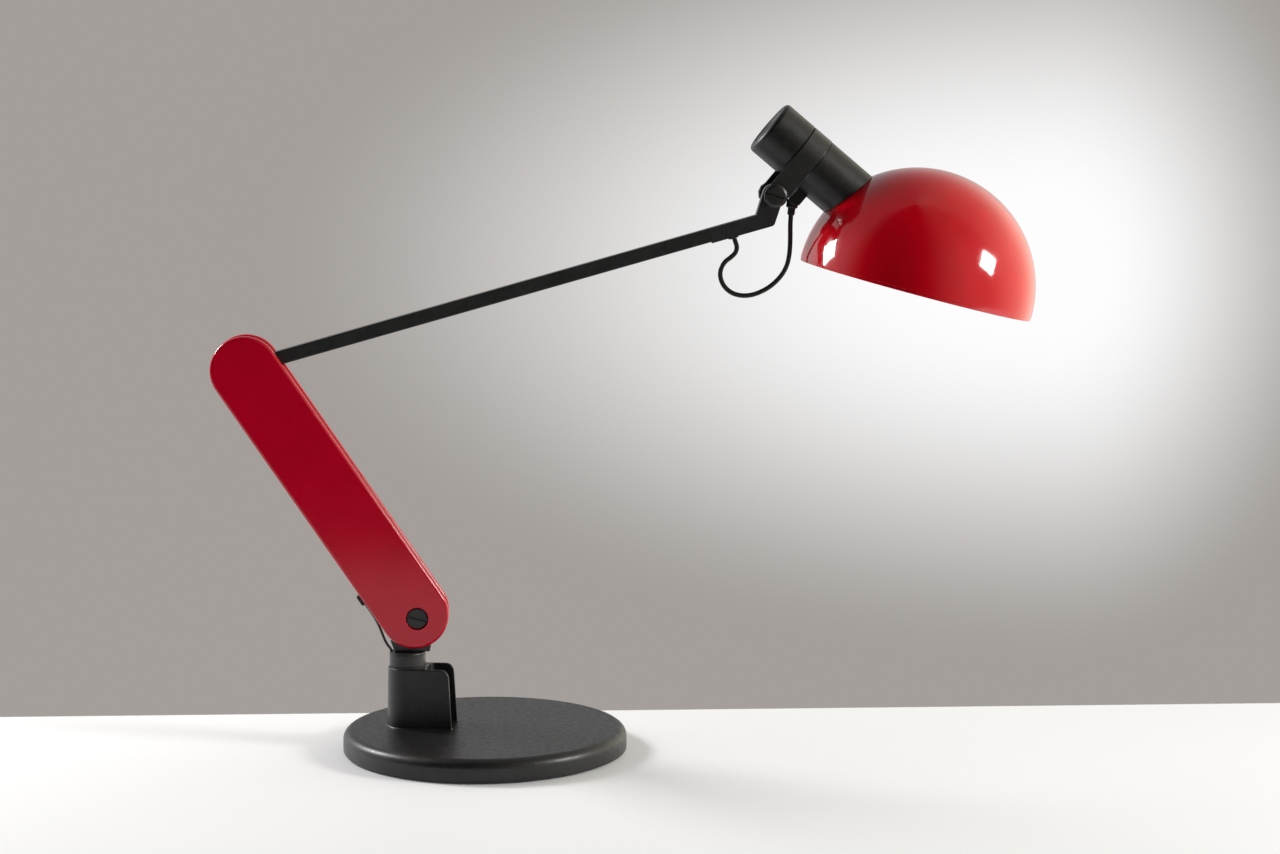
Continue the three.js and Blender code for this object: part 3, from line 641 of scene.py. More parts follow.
# ------------------------------------------------------------------------- base
@dataclass
class Stand:
    """Cast base with its bracket, its pad and its hardware."""

    radius: float = 120
    height: float = 20
    edge: float = 8
    lift: float = 1.5
    recess_wall: float = 10
    recess_top: float = 9.5
    yaw: float = math.radians(-7.75)
    post_offset: float = 66
    half: float = 16.5
    wall: float = 3
    top: float = 71
    reach: float = 37
    draft: float = 0.07
    corner: float = 6.5
    slot_corner: float = 4.6
    soft_edge: float = 0.9
    bush: float = 12.8
    fillet: float = 3.8
    pad_radius: float = 104
    pad_thick: float = 2.5
    screw_circle: float = 80
    inlet: float = 3.3
    inlet_height: float = 8.6

    def place(self) -> Matrix:
        """Gives the place of the bracket, about the post's axis."""
        return turned_place(Vector((POST_AXIS.x, POST_AXIS.y, 0)), self.yaw, "Z")

    def bracket(self) -> Piece:
        """Models the hairpin bracket.

        Returns:
            The bracket, reaching down into the disc.
        """
        half, inner, reach = self.half, self.half - self.wall, self.reach
        slot_start = half + 0.5
        low = self.height - 5
        outline = [
            (reach, -half), (reach, -inner), (slot_start, -inner), (slot_start, inner),
            (reach, inner), (reach, half), *arc((0, 0), half, 90, 270, 32)]
        piece = Bench.line("bracket", [Vector((u, v, low)) for u, v in outline])
        bpy.ops.mesh.select_all(action="SELECT")
        bpy.ops.mesh.edge_face_add()
        grown = 1 + self.draft * (self.top - low) / (self.top - self.height)
        bpy.ops.transform.resize(value=(grown, grown, 1), center_override=(0, 0, low))
        bpy.ops.mesh.extrude_region_move(TRANSFORM_OT_translate={"value": (0, 0, self.top - low)})
        bpy.ops.transform.resize(value=(1 / grown, 1 / grown, 1), center_override=(0, 0, self.top))
        Bench.tidy(piece)
        Bench.round_edges(piece, self.corner, 8, lambda a, b: (
            min(a.z, b.z) > self.top - 0.1 and min(a.x, b.x) > reach - 0.1
            and abs(abs(a.y - b.y) - self.wall) < 0.2))
        Bench.round_edges(piece, self.slot_corner, 6, lambda a, b: (
            abs(a.z - b.z) > 20 and max(a.x, b.x) < slot_start * grown + 0.1
            and min(a.x, b.x) > slot_start - 0.1))
        return piece

    def casting(self) -> None:
        """Models the cast disc with its bracket."""
        rim = arc((self.radius - self.edge, self.height - self.edge), self.edge, 0, 90, 10)
        inner = self.radius - self.recess_wall
        disc = Bench.turned("disc", [
            (0, self.recess_top), (inner, self.recess_top), (inner, self.lift),
            (self.radius - 1.4, self.lift), (self.radius - 0.4, self.lift + 0.4),
            (self.radius, self.lift + 1.5), *rim, (0, self.height)], 160)
        Bench.take(disc, edit=True)
        bpy.ops.transform.translate(value=(self.post_offset, 0, 0))
        bpy.ops.mesh.dissolve_limited(angle_limit=math.radians(0.5))
        bpy.ops.object.mode_set(mode="OBJECT")
        Bench.meet(disc, Join.ADD, self.bracket())
        near = 1.2 * self.reach
        Bench.round_edges(disc, self.fillet, 5, lambda a, b: (
            abs(a.z - self.height) < 0.02 and abs(b.z - self.height) < 0.02
            and max(abs(a.x), abs(b.x), abs(a.y), abs(b.y)) < near), above=50)
        Bench.round_edges(disc, self.soft_edge, 3, lambda a, b: (
            min(a.z, b.z) > self.height + self.fillet - 0.3
            and max(abs(a.x), abs(b.x)) < near), above=40)
        seat = self.recess_top + 5.5
        Bench.meet(
            disc, Join.CUT,
            Bench.rod(self.bush, seat, self.top + 1, axis=Axis.Z),
            Bench.rod(self.half - 0.9, self.recess_top - 1, seat, axis=Axis.Z))
        drill = Bench.rod(self.inlet + 2.3, self.radius - 9, self.radius + 1, (0, self.inlet_height))
        Bench.take(drill)
        turn = Matrix.Translation((self.post_offset, 0, 0)) @ Matrix.Rotation(-self.yaw, 4, "Z")
        drill.matrix_world = turn @ drill.matrix_world
        Bench.meet(disc, Join.CUT, drill)
        fit(disc, "base_casting", self.place(), IRON, smooth=40)

    def pad(self) -> None:
        """Models the pad under the base, with its moulded rings."""
        rings: list[Pair] = []
        for i in range(6):
            r = 30 + 12 * i
            rings += [(r, 0), (r + 1, 0.5), (r + 3, 0.5), (r + 4, 0)]
        r, thick = self.pad_radius, self.pad_thick
        pad = Bench.turned("pad", [
            (0, 0), *rings, (r - 0.6, 0), (r, 0.6), (r, thick - 0.4), (r - 0.4, thick), (0, thick)], 128)
        for spot in arc((0, 0), self.screw_circle, 90, 330, 2):
            Bench.meet(pad, Join.CUT, Bench.rod(6, -1, 4, spot, Axis.Z, 48))
        fit(pad, "foot_pad", self.place() @ shift(self.post_offset), RUBBER)

    def inlet_bush(self) -> None:
        """Models the bush that takes a mains cord."""
        r = self.inlet
        bush = Bench.turned("bush", [
            (r, -8.4), (r + 2, -8.4), (r + 2, 0.3), (r + 3.2, 0.3), (r + 3.4, 0.6),
            *arc((r + 2, 1), 1.4, 0, 90, 6), (r + 0.6, 2.4), (r, 1.9), (r, -8.4)], 64)
        middle = Vector((0, self.radius * MM, self.inlet_height * MM))
        fit(bush, "mains_bush", turned_place(middle, 0) @ ALONG_Y, RUBBER)

    def build(self) -> None:
        """Models and dresses the whole stand."""
        self.casting()
        self.pad()
        self.inlet_bush()
        dress(STEEL, "ballast_plate", "ballast_screw_1", "ballast_screw_2", "ballast_screw_3")
        dress(BRASS, "post_bush")
        dress(ACETAL, "post_washer")


# ------------------------------------------------------------------------- swivel post
@dataclass
class SwivelPost:
    """Turned post with the pivot block on top."""

    radius: float = 15.3
    top: float = 84
    collar_low: float = 72.3
    spindle: float = 11
    bore: float = 5
    seat: float = 15
    pivot: Pair = (8.7, 114)
    block_round: float = 16
    block_half: float = 6
    bolt_bore: float = 4.3
    lead_hole: float = 1.7
    lead_in: float = 2.2  # the lead's hole lies this far inside the edge

    def place(self) -> Matrix:
        """Gives the place of the post, about its own axis."""
        return turned_place(Vector((POST_AXIS.x, POST_AXIS.y, 0)), 0)

    def build(self) -> None:
        """Models and dresses the post and the block."""
        r, top, foot, shoulder = self.radius, self.top, self.seat - 4.5, self.seat + 0.6
        post = Bench.turned("post", [
            (self.bore, foot), (8, foot), (8, shoulder), (self.spindle, shoulder),
            (self.spindle, self.collar_low), (r - 0.5, self.collar_low), (r, self.collar_low + 0.5),
            (r, top - 2.2), (r - 0.35, top - 2.0), (r - 0.35, top - 1.6), (r, top - 1.4), (r, top - 0.8),
            (r - 0.25, top - 0.25), (r - 0.8, top), (self.bore, top), (self.bore, foot)], 96)
        hole = Bench.rod(self.lead_hole, top - 9, top + 1, (self.lead_in - r, 0), Axis.Z, 32)
        Bench.meet(post, Join.CUT, hole)
        fit(post, "swivel_post", self.place(), ALLOY)
        low = top + 0.3
        block = Bench.slab("block", hull([
            (-10.8, low), (-14, low + 9), (19, low), (19.5, low + 4),
            *circle(self.pivot, self.block_round, 96)]), -self.block_half, self.block_half)
        Bench.soften(block, 0.9, 3)
        Bench.meet(block, Join.ADD, Bench.rod(self.bore - 0.3, top - 14, low + 2, axis=Axis.Z))
        Bench.meet(block, Join.CUT, Bench.rod(self.bolt_bore, -20, 20, self.pivot))
        fit(block, "pivot_block", self.place(), ALLOY)
        dress(STEEL, "post_nut", "post_nut_washer")


# ------------------------------------------------------------------------- lower arm
@dataclass
class LowerArm:
    """Two lacquered plates with rounded rims, bolted over the pivots."""

    centres: float = 249
    radius: float = 29
    thick: float = 7
    inside: float = 7
    rim: float = 2.6
    beyond: float = 4
    bolt_radius: float = 4
    bolt_bore: float = 4.3
    head: float = 9.1
    sink: float = 1.4
    seat_deep: float = 4.7
    slot_turn: float = math.radians(14)
    screw_first: float = 56
    screw_step: float = 63.5
    screw_bore: float = 2.3
    screw_head: float = 4.3
    lead_out: float = 1.8  # how far the short lead's middle lies outside the plates' edge
    clear: float = 0.3

    def place(self) -> Matrix:
        """Gives the place of the arm, about its lower pivot."""
        return turned_place(LOWER_PIVOT, LEAN)

    def plate(self, side: int) -> Piece:
        """Models one plate.

        Args:
            side: -1 for the front plate, 1 for the rear one.

        Returns:
            The plate, without the recesses that only one side has.
        """
        inner, outer = side * self.inside, side * (self.inside + self.thick)
        Bench.clear()
        step = math.pi / 96
        bpy.ops.mesh.primitive_circle_add(
            vertices=192, radius=self.radius, fill_type="NGON",
            location=(0, inner, self.beyond), rotation=(math.pi / 2, step, 0))
        piece = bpy.context.object
        bpy.ops.object.transform_apply(location=True, rotation=True, scale=True)
        Bench.take(piece, edit=True)
        bpy.ops.mesh.select_all(action="DESELECT")
        bpy.ops.object.mode_set(mode="OBJECT")
        for corner in piece.data.vertices:
            corner.select = corner.co.z > self.beyond
        bpy.ops.object.mode_set(mode="EDIT")
        bpy.ops.transform.translate(value=(0, 0, self.centres))
        bpy.ops.mesh.select_all(action="SELECT")
        bpy.ops.mesh.extrude_region_move(TRANSFORM_OT_translate={"value": (0, outer - inner, 0)})
        Bench.tidy(piece)
        Bench.soften(piece, self.rim, 7, above=60)
        return piece

    def recess(self, side: int, height: float) -> Piece:
        """Gives the tool that sinks a bolt head into a plate."""
        seat = self.inside + self.thick - self.seat_deep
        low, high = sorted((side * seat, side * 20))
        return Bench.rod(self.head + self.clear, low, high, (0, height), sides=96)

    def plates(self) -> None:
        """Models both plates with their bores."""
        top = self.centres + 2 * self.beyond
        blind = self.inside + 2.4
        front = Bench.meet(
            self.plate(-1), Join.CUT, self.recess(-1, 0), Bench.rod(self.bolt_bore, -20, 0),
            Bench.rod(self.bolt_bore, -blind, 0, (0, top)))
        rear = Bench.meet(
            self.plate(1), Join.CUT, self.recess(1, 0), Bench.rod(self.bolt_bore, 0, 20),
            self.recess(1, top), Bench.rod(self.bolt_bore, 0, 20, (0, top)))
        for i in range(3):
            at = (0, self.screw_first + self.screw_step * i)
            Bench.meet(front, Join.CUT, Bench.rod(self.screw_bore, -blind, 0, at, sides=32))
            Bench.meet(rear, Join.CUT, Bench.rod(self.screw_bore, 0, 20, at, sides=32),
                       Bench.rod(self.screw_head, self.inside + self.thick - 2.6, 20, at, sides=48))
        for piece, node in ((front, "arm_plate_front"), (rear, "arm_plate_rear")):
            Bench.soften(piece, 0.35, 2, above=60)
            fit(piece, node, self.place(), RED_PLATE, smooth=50)

    def bolts(self) -> None:
        """Models the slotted bolt and the two nuts."""
        seat = self.inside + self.thick - self.seat_deep + self.clear
        high = self.inside + self.thick - self.sink
        h = self.head
        bolt = Bench.turned("bolt", [
            (0, high), (h - 1.6, high), *arc((h - 1.2, high - 1.2), 1.2, 90, 0, 5), (h, seat),
            (self.bolt_radius, seat), (self.bolt_radius, 0.8 - high), (0, 0.8 - high)], 96)
        slot = Bench.block("slot", (-h - 1, -SLOT_HALF, high - 1.3), (h + 1, SLOT_HALF, high + 1))
        slot.matrix_world = Matrix.Rotation(LEAN - self.slot_turn, 4, "Z") @ slot.matrix_world
        Bench.meet(bolt, Join.CUT, slot)
        Bench.soften(bolt, 0.18, 2)
        toward_front = Matrix.Rotation(math.pi / 2, 4, "X")
        fit(bolt, "lower_bolt", self.place() @ toward_front, PAINTED_STEEL)
        for node, height in (("lower_nut", 0), ("upper_nut", self.centres + 2 * self.beyond)):
            nut = Bench.turned("nut", [
                (self.bolt_bore, seat), (h, seat), (h, high - 1), *arc((h - 1, high - 1), 1, 0, 90, 4),
                (self.bolt_bore + 0.4, high), (self.bolt_bore, high - 0.4), (self.bolt_bore, seat)], 96)
            for s in (-1, 1):
                Bench.meet(nut, Join.CUT, Bench.rod(1.1, high - 1.6, high + 1, (6.6 * s, 0), Axis.Z, 32))
            fit(nut, node, self.place() @ shift(z=height) @ ALONG_Y, PAINTED_STEEL)

    def grommet(self) -> None:
        """Models the grommet at the arm's left edge."""
        middle = -self.radius - self.lead_out
        lip, inside = middle - 2.4, middle + 8.2
        piece = Bench.slab("grommet", [(lip, 33.5), (inside, 33.5), (inside, 43), (lip, 43)], -4.5, 4.5)
        Bench.soften(piece, 1.1, 4)
        Bench.meet(piece, Join.CUT, Bench.rod(1.55, 30, 39, (middle, 0), Axis.Z, 32))
        fit(piece, "lead_grommet", self.place(), RUBBER)

    def build(self) -> None:
        """Models and dresses the whole arm."""
        self.plates()
        self.bolts()
        self.grommet()
        dress(MOULDED, "arm_core")
        dress(PAINTED_STEEL, "plate_screw_1", "plate_screw_2", "plate_screw_3")
        dress(STEEL, "upper_axle")
        for pivot in ("lower", "upper"):
            dress(NYLON, f"{pivot}_washer_front", f"{pivot}_washer_rear")


# ------------------------------------------------------------------------- upper arm
@dataclass
class UpperArm:
    """Slim square tube with its hub and the cranked end casting."""

    high: float = 11.5
    thick: float = 12
    wall: float = 1.3
    drop: float = 1.5
    hub: float = 14
    end: float = 404.5
    casting_drop: float = 1.1
    elbow: float = 8.8
    toe_back: float = 5.3  # the casting's toe lies this far short of the hinge
    toe_round: float = 4
    entry: float = 423.5
    bolt_bore: float = 4.3
    cord: float = 4
    clear: float = 0.3

    def place(self) -> Matrix:
        """Gives the place of the arm, about its upper pivot."""
        return turned_place(UPPER_PIVOT, RISE)

    def bar(self) -> None:
        """Models the tube."""
        start, side = self.hub + self.clear, self.thick / 2
        top, low = self.high / 2 - self.drop, -self.high / 2 - self.drop
        bar = Bench.block("bar", (start, -side, low), (self.end, side, top))
        Bench.round_edges(bar, 1.0, 5, lambda a, b: abs(a.x - b.x) > 100)
        hollow = Bench.block("hollow", (start - 1, self.wall - side, low + self.wall),
                             (self.end + 1, side - self.wall, top - self.wall))
        Bench.meet(bar, Join.CUT, hollow)
        for x in (start + 14, self.end - 12):
            Bench.meet(bar, Join.CUT, Bench.rod(1.8, low - 1, low + 3, (x, 0), Axis.Z, 32))
        fit(bar, "arm_bar", self.place(), PAINTED_STEEL)

    def elbow_casting(self) -> None:
        """Models the casting with the stem that carries the head."""
        top, low = self.high / 2 - self.drop, -self.high / 2 - self.drop
        under, side, r = low - self.casting_drop, self.thick / 2, self.toe_round
        toe_x = HINGE_ALONG - self.toe_back
        stem = Bench.slab("stem", hull([
            *circle((HINGE_ALONG, HINGE_ABOVE), self.elbow, 96),
            *circle((toe_x - r * 0.75, under + r), r, 48),
            (toe_x - 13, under), (toe_x - 13, top)]), -side, side)
        start, stop = self.end + self.clear, toe_x - 8
        beam = Bench.slab("beam", [(start, under), (stop, under), (stop, top), (start, top)], -side, side)
        Bench.meet(stem, Join.ADD, beam)
        Bench.soften(stem, 0.9, 3)
        inset = self.wall + self.clear
        tenon = Bench.block("tenon", (self.end - 24, inset - side, low + inset),
                            (start + 4, side - inset, top - inset))
        Bench.meet(stem, Join.ADD, tenon)
        Bench.meet(stem, Join.CUT, Bench.rod(self.bolt_bore, -20, 20, (HINGE_ALONG, HINGE_ABOVE)),
                   Bench.rod(self.cord / 2 + 1.7, under - 1, under + 7, (self.entry, 0), Axis.Z, 48))
        fit(stem, "elbow_casting", self.place(), ALLOY)

    def grommet(self) -> None:
        """Models the grommet round the head cord."""
        under = -self.high / 2 - self.drop - self.casting_drop
        hole, neck = self.cord / 2 + 0.4, self.cord / 2 + 1.4
        piece = Bench.turned("grommet", [
            (hole, -1.0), (hole + 0.3, -1.3), (neck + 0.4, -1.3), (neck + 0.9, -1.1), (neck + 1, -0.7),
            (neck + 1, -0.3), (neck, -0.3), (neck, 5), (hole, 5), (hole, -1.0)], 64)
        fit(piece, "bar_grommet", self.place() @ shift(x=self.entry, z=under), RUBBER)

    def build(self) -> None:
        """Models and dresses the whole arm."""
        self.bar()
        self.elbow_casting()
        self.grommet()
        dress(ALLOY, "upper_hub")
        dress(STEEL, "grub_screw_1", "grub_screw_2")


# ------------------------------------------------------------------------- head
@dataclass
class Head:
    """Yoke, socket housing, cap, lamp holder, bulb and domed shade."""

    axis_rise: float = 40.9
    socket: float = 24.2
    wall: float = 2.4
    cap: float = 24.5
    cap_long: float = 30.5
    strap_half: float = 9.25
    strap_thick: float = 1.5
    knob: float = 9.7
    slot_turn: float = math.radians(18)
    bolt: float = 4
    bolt_bore: float = 4.3
    dome: float = 100
    dome_thick: float = 1.4
    dome_x: float = 142.5
    dome_z: float = 19.2
    dome_turn: float = math.radians(-25.5)
    rim_below: float = 3.4
    rim_step: float = 0.35
    rim_angle: float = 1.3  # degrees from the rim to its step
    holder: float = 19.8
    seat_back: float = 19.5
    globe: float = 30
    notch_circle: float = 26
    button: float = 16.6
    dish_deep: float = 2.9
    clear: float = 0.3
    cord: float = 4
    exit_turn: float = math.radians(56.6)
    mouth: Pair = (16.5, 6)

    def place(self) -> Matrix:
        """Gives the place of the head, about its hinge, with +X down the socket."""
        return turned_place(HEAD_HINGE, TILT)

    def on_axis(self) -> Matrix:
        """Gives the place of pieces turned about the socket's axis."""
        return self.place() @ shift(z=self.axis_rise) @ ALONG_X

    def entry(self) -> float:
        """Gives where the socket's axis line comes closest inside the dome's skin."""
        return self.dome_x - math.sqrt(self.dome ** 2 - (self.axis_rise - self.dome_z) ** 2)

    def yoke(self) -> None:
        """Models the strap with its two legs."""
        outer = self.cap
        inner = outer - self.strap_thick
        rise = self.axis_rise
        outline = [(-outer, -20), *arc((0, rise), outer, 180, 0, 64), (outer, -20), (inner, -20),
                   *arc((0, rise), inner, 0, 180, 64), (-inner, -20)]
        strap = Bench.slab("strap", outline, -self.strap_half, self.strap_half, Axis.X)
        half = self.strap_half
        legs = Bench.slab("legs", hull([*circle((0, 0), half, 96), (-half, 90), (half, 90)]), -40, 40)
        Bench.meet(strap, Join.COMMON, legs)
        Bench.soften(strap, 0.45, 2)
        Bench.meet(strap, Join.CUT, Bench.rod(self.bolt_bore, -40, 40))
        fit(strap, "head_yoke", self.place(), PAINTED_STEEL)

    def hinge(self) -> None:
        """Models the slotted screw and the nut at the hinge."""
        low = self.cap + self.clear
        high, k = low + 4, self.knob
        screw = Bench.turned("screw", [
            (0, high), (k - 2.2, high), (k - 1.9, high - 0.15), (k - 0.5, high - 1.0),
            *arc((k - 0.9, high - 1.5), 0.9, 40, 0, 3), (k, low + 0.3), (k - 0.3, low),
            (self.bolt, low), (self.bolt, -high - 0.6), (0, -high - 0.6)], 96)
        slot = Bench.block("slot", (-12, -SLOT_HALF, high - 1.4), (12, SLOT_HALF, high + 1))
        slot.matrix_world = Matrix.Rotation(TILT - self.slot_turn, 4, "Z") @ slot.matrix_world
        Bench.meet(screw, Join.CUT, slot)
        Bench.soften(screw, 0.15, 2)
        fit(screw, "hinge_screw", self.place() @ Matrix.Rotation(math.pi / 2, 4, "X"), PAINTED_STEEL)
        across = self.knob / math.cos(math.pi / 12)
        nut = Bench.slab("nut", circle((0, 0), across, 12), low, low + 4.1)
        Bench.soften(nut, 0.7, 3, above=50)
        Bench.meet(nut, Join.CUT, Bench.rod(self.bolt_bore, 0, 60))
        fit(nut, "hinge_nut", self.place(), PAINTED_STEEL, smooth=25)

    def housing(self) -> None:
        """Models the socket housing, cut to the dome."""
        start, end = 0.6 - self.strap_half, self.entry() + 25
        r, bore = self.socket, self.socket - self.wall
        groove, shoulder = self.cap - self.strap_thick - self.clear, self.strap_half + self.clear
        body = Bench.turned("housing", [
            (bore, start), (groove, start), (groove, shoulder), (r - 0.3, shoulder),
            (r, shoulder + 0.3), (r, end), (bore, end), (bore, start)], 128)
        Bench.clear()
        bpy.ops.mesh.primitive_uv_sphere_add(
            segments=128, ring_count=64, radius=self.dome + 0.4,
            location=(self.axis_rise - self.dome_z, 0, self.dome_x))
        Bench.meet(body, Join.CUT, bpy.context.object)
        Bench.soften(body, 0.25, 2, above=50)
        fit(body, "socket_body", self.on_axis(), MOULDED)

    def rear_cap(self) -> None:
        """Models the cap with its dished button."""
        end = -self.strap_half - 0.7
        start = end - self.cap_long
        bore, hole, r = self.socket - self.wall, self.button + self.clear, self.cap
        cap = Bench.turned("cap", [
            (hole, start + 1.4), (hole + 0.4, start + 0.5), (hole + 1.3, start), (r - 4.2, start),
            *arc((r - 4.0, start + 4.0), 4.0, 270, 360, 9), (r, end - 0.4), (r - 0.4, end),
            (bore - 0.3, end), (bore - 0.3, end + 8), (bore - 2.4, end + 8), (bore - 2.4, start + 9),
            (hole, start + 9), (hole, start + 1.4)], 128)
        fit(cap, "rear_cap", self.on_axis(), MOULDED)
        b = self.button
        dish = [(b * 0.84 * i / 10, start + 1.0 + self.dish_deep * (1 - (i / 10) ** 2))
                for i in range(11)]
        button = Bench.turned("button", [
            *dish, (b - 1.5, start + 0.75), (b - 0.5, start + 0.95), (b, start + 1.6), (b, start + 7),
            (0, start + 7)], 96)
        fit(button, "switch_button", self.on_axis(), GLOSS_BUTTON)
        dress(PALE, "switch_housing")

    def lamp(self) -> None:
        """Models the lamp holder, the bulb and the ring that clamps the shade."""
        seat, bore, r = self.entry() - self.seat_back, self.socket - self.wall, self.holder
        ribs: list[Pair] = []
        for i in range(7):
            h = seat + 9 + 3 * i
            ribs += [(r, h), (r - 0.7, h + 0.6), (r - 0.7, h + 1.4), (r, h + 2)]
        holder = Bench.turned("holder", [
            (0, seat - 6), (bore - 1, seat - 6), (bore - 1, seat + 6), (r, seat + 6), *ribs,
            (r, seat + 29), (r - 1, seat + 30), (14.6, seat + 30), (14, seat + 29.4),
            (14, seat - 1), (0, seat - 1)], 96)
        fit(holder, "lamp_holder", self.on_axis(), CERAMIC)
        thread: list[Pair] = []
        for i in range(48):
            h = seat + 6 + 18 * i / 47
            thread.append((12.6 + 0.4 * math.cos(2 * math.pi * (h - seat - 6) / 3.6), h))
        cap = Bench.turned("cap", [
            (0, seat - 0.6), (4, seat - 0.6), (4.6, seat), (6, seat + 1.5), (12.6, seat + 5), *thread,
            (13, seat + 25), (13, seat + 27), (0, seat + 27)], 72)
        fit(cap, "bulb_cap", self.on_axis(), CAP_ALLOY)
        neck, globe = seat + 27 + self.clear, seat + 74
        skirt = [(13.4 + 4.9 * (i / 12) ** 2 + 0.12 * i, neck + 23.0 * i / 12) for i in range(13)]
        glass = Bench.turned("glass", [
            (0, neck), *skirt, *arc((0, globe), self.globe, -52, 90, 40)[:-1],
            (0, globe + self.globe)], 96)
        fit(glass, "bulb_glass", self.on_axis(), OPAL, smooth=60)
        hole, start, stop = r + self.clear, self.entry() - 5, self.entry() + 17.5
        ring = Bench.turned("ring", [
            (hole, start), (25.5, start), (25.5, stop), (hole, stop), (hole, start)], 96)
        Bench.clear()
        bpy.ops.mesh.primitive_uv_sphere_add(
            segments=128, ring_count=64, radius=self.dome - self.dome_thick - 0.5,
            location=(self.axis_rise - self.dome_z, 0, self.dome_x))
        Bench.meet(ring, Join.COMMON, bpy.context.object)
        for spot in circle((0, 0), self.notch_circle, 12):
            notch = Bench.rod(1.6, self.entry(), self.entry() + 40, spot, Axis.Z, 24)
            Bench.meet(ring, Join.CUT, notch)
        Bench.soften(ring, 0.4, 2, above=50)
        fit(ring, "shade_ring", self.on_axis(), PALE)

    def shade(self) -> None:
        """Models the dome as a thin shell with a rounded rim, red outside and white inside."""
        inner, half = self.dome - self.dome_thick, self.dome_thick / 2
        middle = self.dome - half
        sag = math.degrees(math.asin(self.rim_below / self.dome)) - 0.4
        step, edge = self.rim_step, self.rim_angle
        centre = self.dome - half - step / 2
        end = (centre * math.cos(math.radians(-sag)), -centre * math.sin(math.radians(sag)))
        lip = arc(end, half - step / 2, -sag, -sag - 180, 8)
        shell = Bench.turned("shell", [
            *arc((0, 0), self.dome, 90, edge - sag, 60),
            *arc((0, 0), self.dome - step, edge - sag - 0.15, -sag, 3)[:-1],
            *lip, *arc((0, 0), inner, -sag, 90, 54)[1:-1], (0, inner)], 160)
        for corner in shell.data.vertices:
            if math.hypot(corner.co.x, corner.co.y) < 1e-3:
                corner.co.x = corner.co.y = 0
        Bench.tidy(shell)
        turn = shift(self.dome_x, 0, self.dome_z) @ Matrix.Rotation(self.dome_turn, 4, "Y")
        shell.matrix_world = turn
        Bench.take(shell)
        bpy.ops.object.transform_apply(location=True, rotation=True, scale=True)
        start = self.entry()
        hole = Bench.rod(self.holder + self.clear, start - 20, start + 40, (0, self.axis_rise), Axis.X, 96)
        Bench.meet(shell, Join.CUT, hole)
        shell.data.materials.clear()
        shell.data.materials.append(RED_SHADE.material())
        shell.data.materials.append(WHITE_ENAMEL.material())
        centre = Vector((self.dome_x, 0, self.dome_z))
        for face in shell.data.polygons:
            arm = face.center - centre
            face.material_index = 1 if arm.length < middle - 0.3 and face.normal.dot(arm) < 0 else 0
        fit(shell, "shade", self.place(), RED_SHADE, smooth=40)

    def gland(self) -> None:
        """Models the cord's gland and its ribbed relief."""
        aim = shift(x=self.mouth[0], z=self.mouth[1]) @ Matrix.Rotation(self.exit_turn, 4, "Y") @ ALONG_X
        block = Bench.slab("gland", hull([
            (12.3, 6.5), (14.5, 4.2), (20, 4.2), (22.2, 7.5), (22.2, 22), (12.3, 22)]), -6, 6)
        Bench.soften(block, 0.9, 3)
        nozzle = Bench.turned("nozzle", [(0, -2), (4.9, -2), (4.9, 4.2), (4.1, 5), (0, 5)], 64)
        nozzle.matrix_world = aim
        drill = Bench.rod(self.cord / 2 + 1.6, -4, 6, axis=Axis.Z)
        drill.matrix_world = aim @ drill.matrix_world
        Bench.meet(block, Join.ADD, nozzle)
        housing = Bench.rod(self.socket + self.clear, -20, 60, (0, self.axis_rise), Axis.X, 128)
        Bench.meet(block, Join.CUT, housing, drill)
        fit(block, "cord_gland", self.place(), MOULDED)
        hole = self.cord / 2 + 0.4
        ribs: list[Pair] = []
        for i in range(3):
            h = 5.4 + 1.6 * i
            ribs += [(hole + 0.9, h), (hole + 0.9, h + 0.8), (hole + 0.55, h + 0.95),
                     (hole + 0.55, h + 1.45)]
        relief = Bench.turned("relief", [
            (hole, -3), (hole + 0.9, -3), *ribs, (hole + 0.6, 10.6), (hole + 0.4, 11), (hole, 11),
            (hole, -3)], 64)
        fit(relief, "cord_relief", self.place() @ aim, RUBBER)

    def build(self) -> None:
        """Models and dresses the whole head."""
        self.yoke()
        self.hinge()
        self.housing()
        self.rear_cap()
        self.lamp()
        self.shade()
        self.gland()
        dress(MOULDED, "hinge_spacer_front", "hinge_spacer_rear")


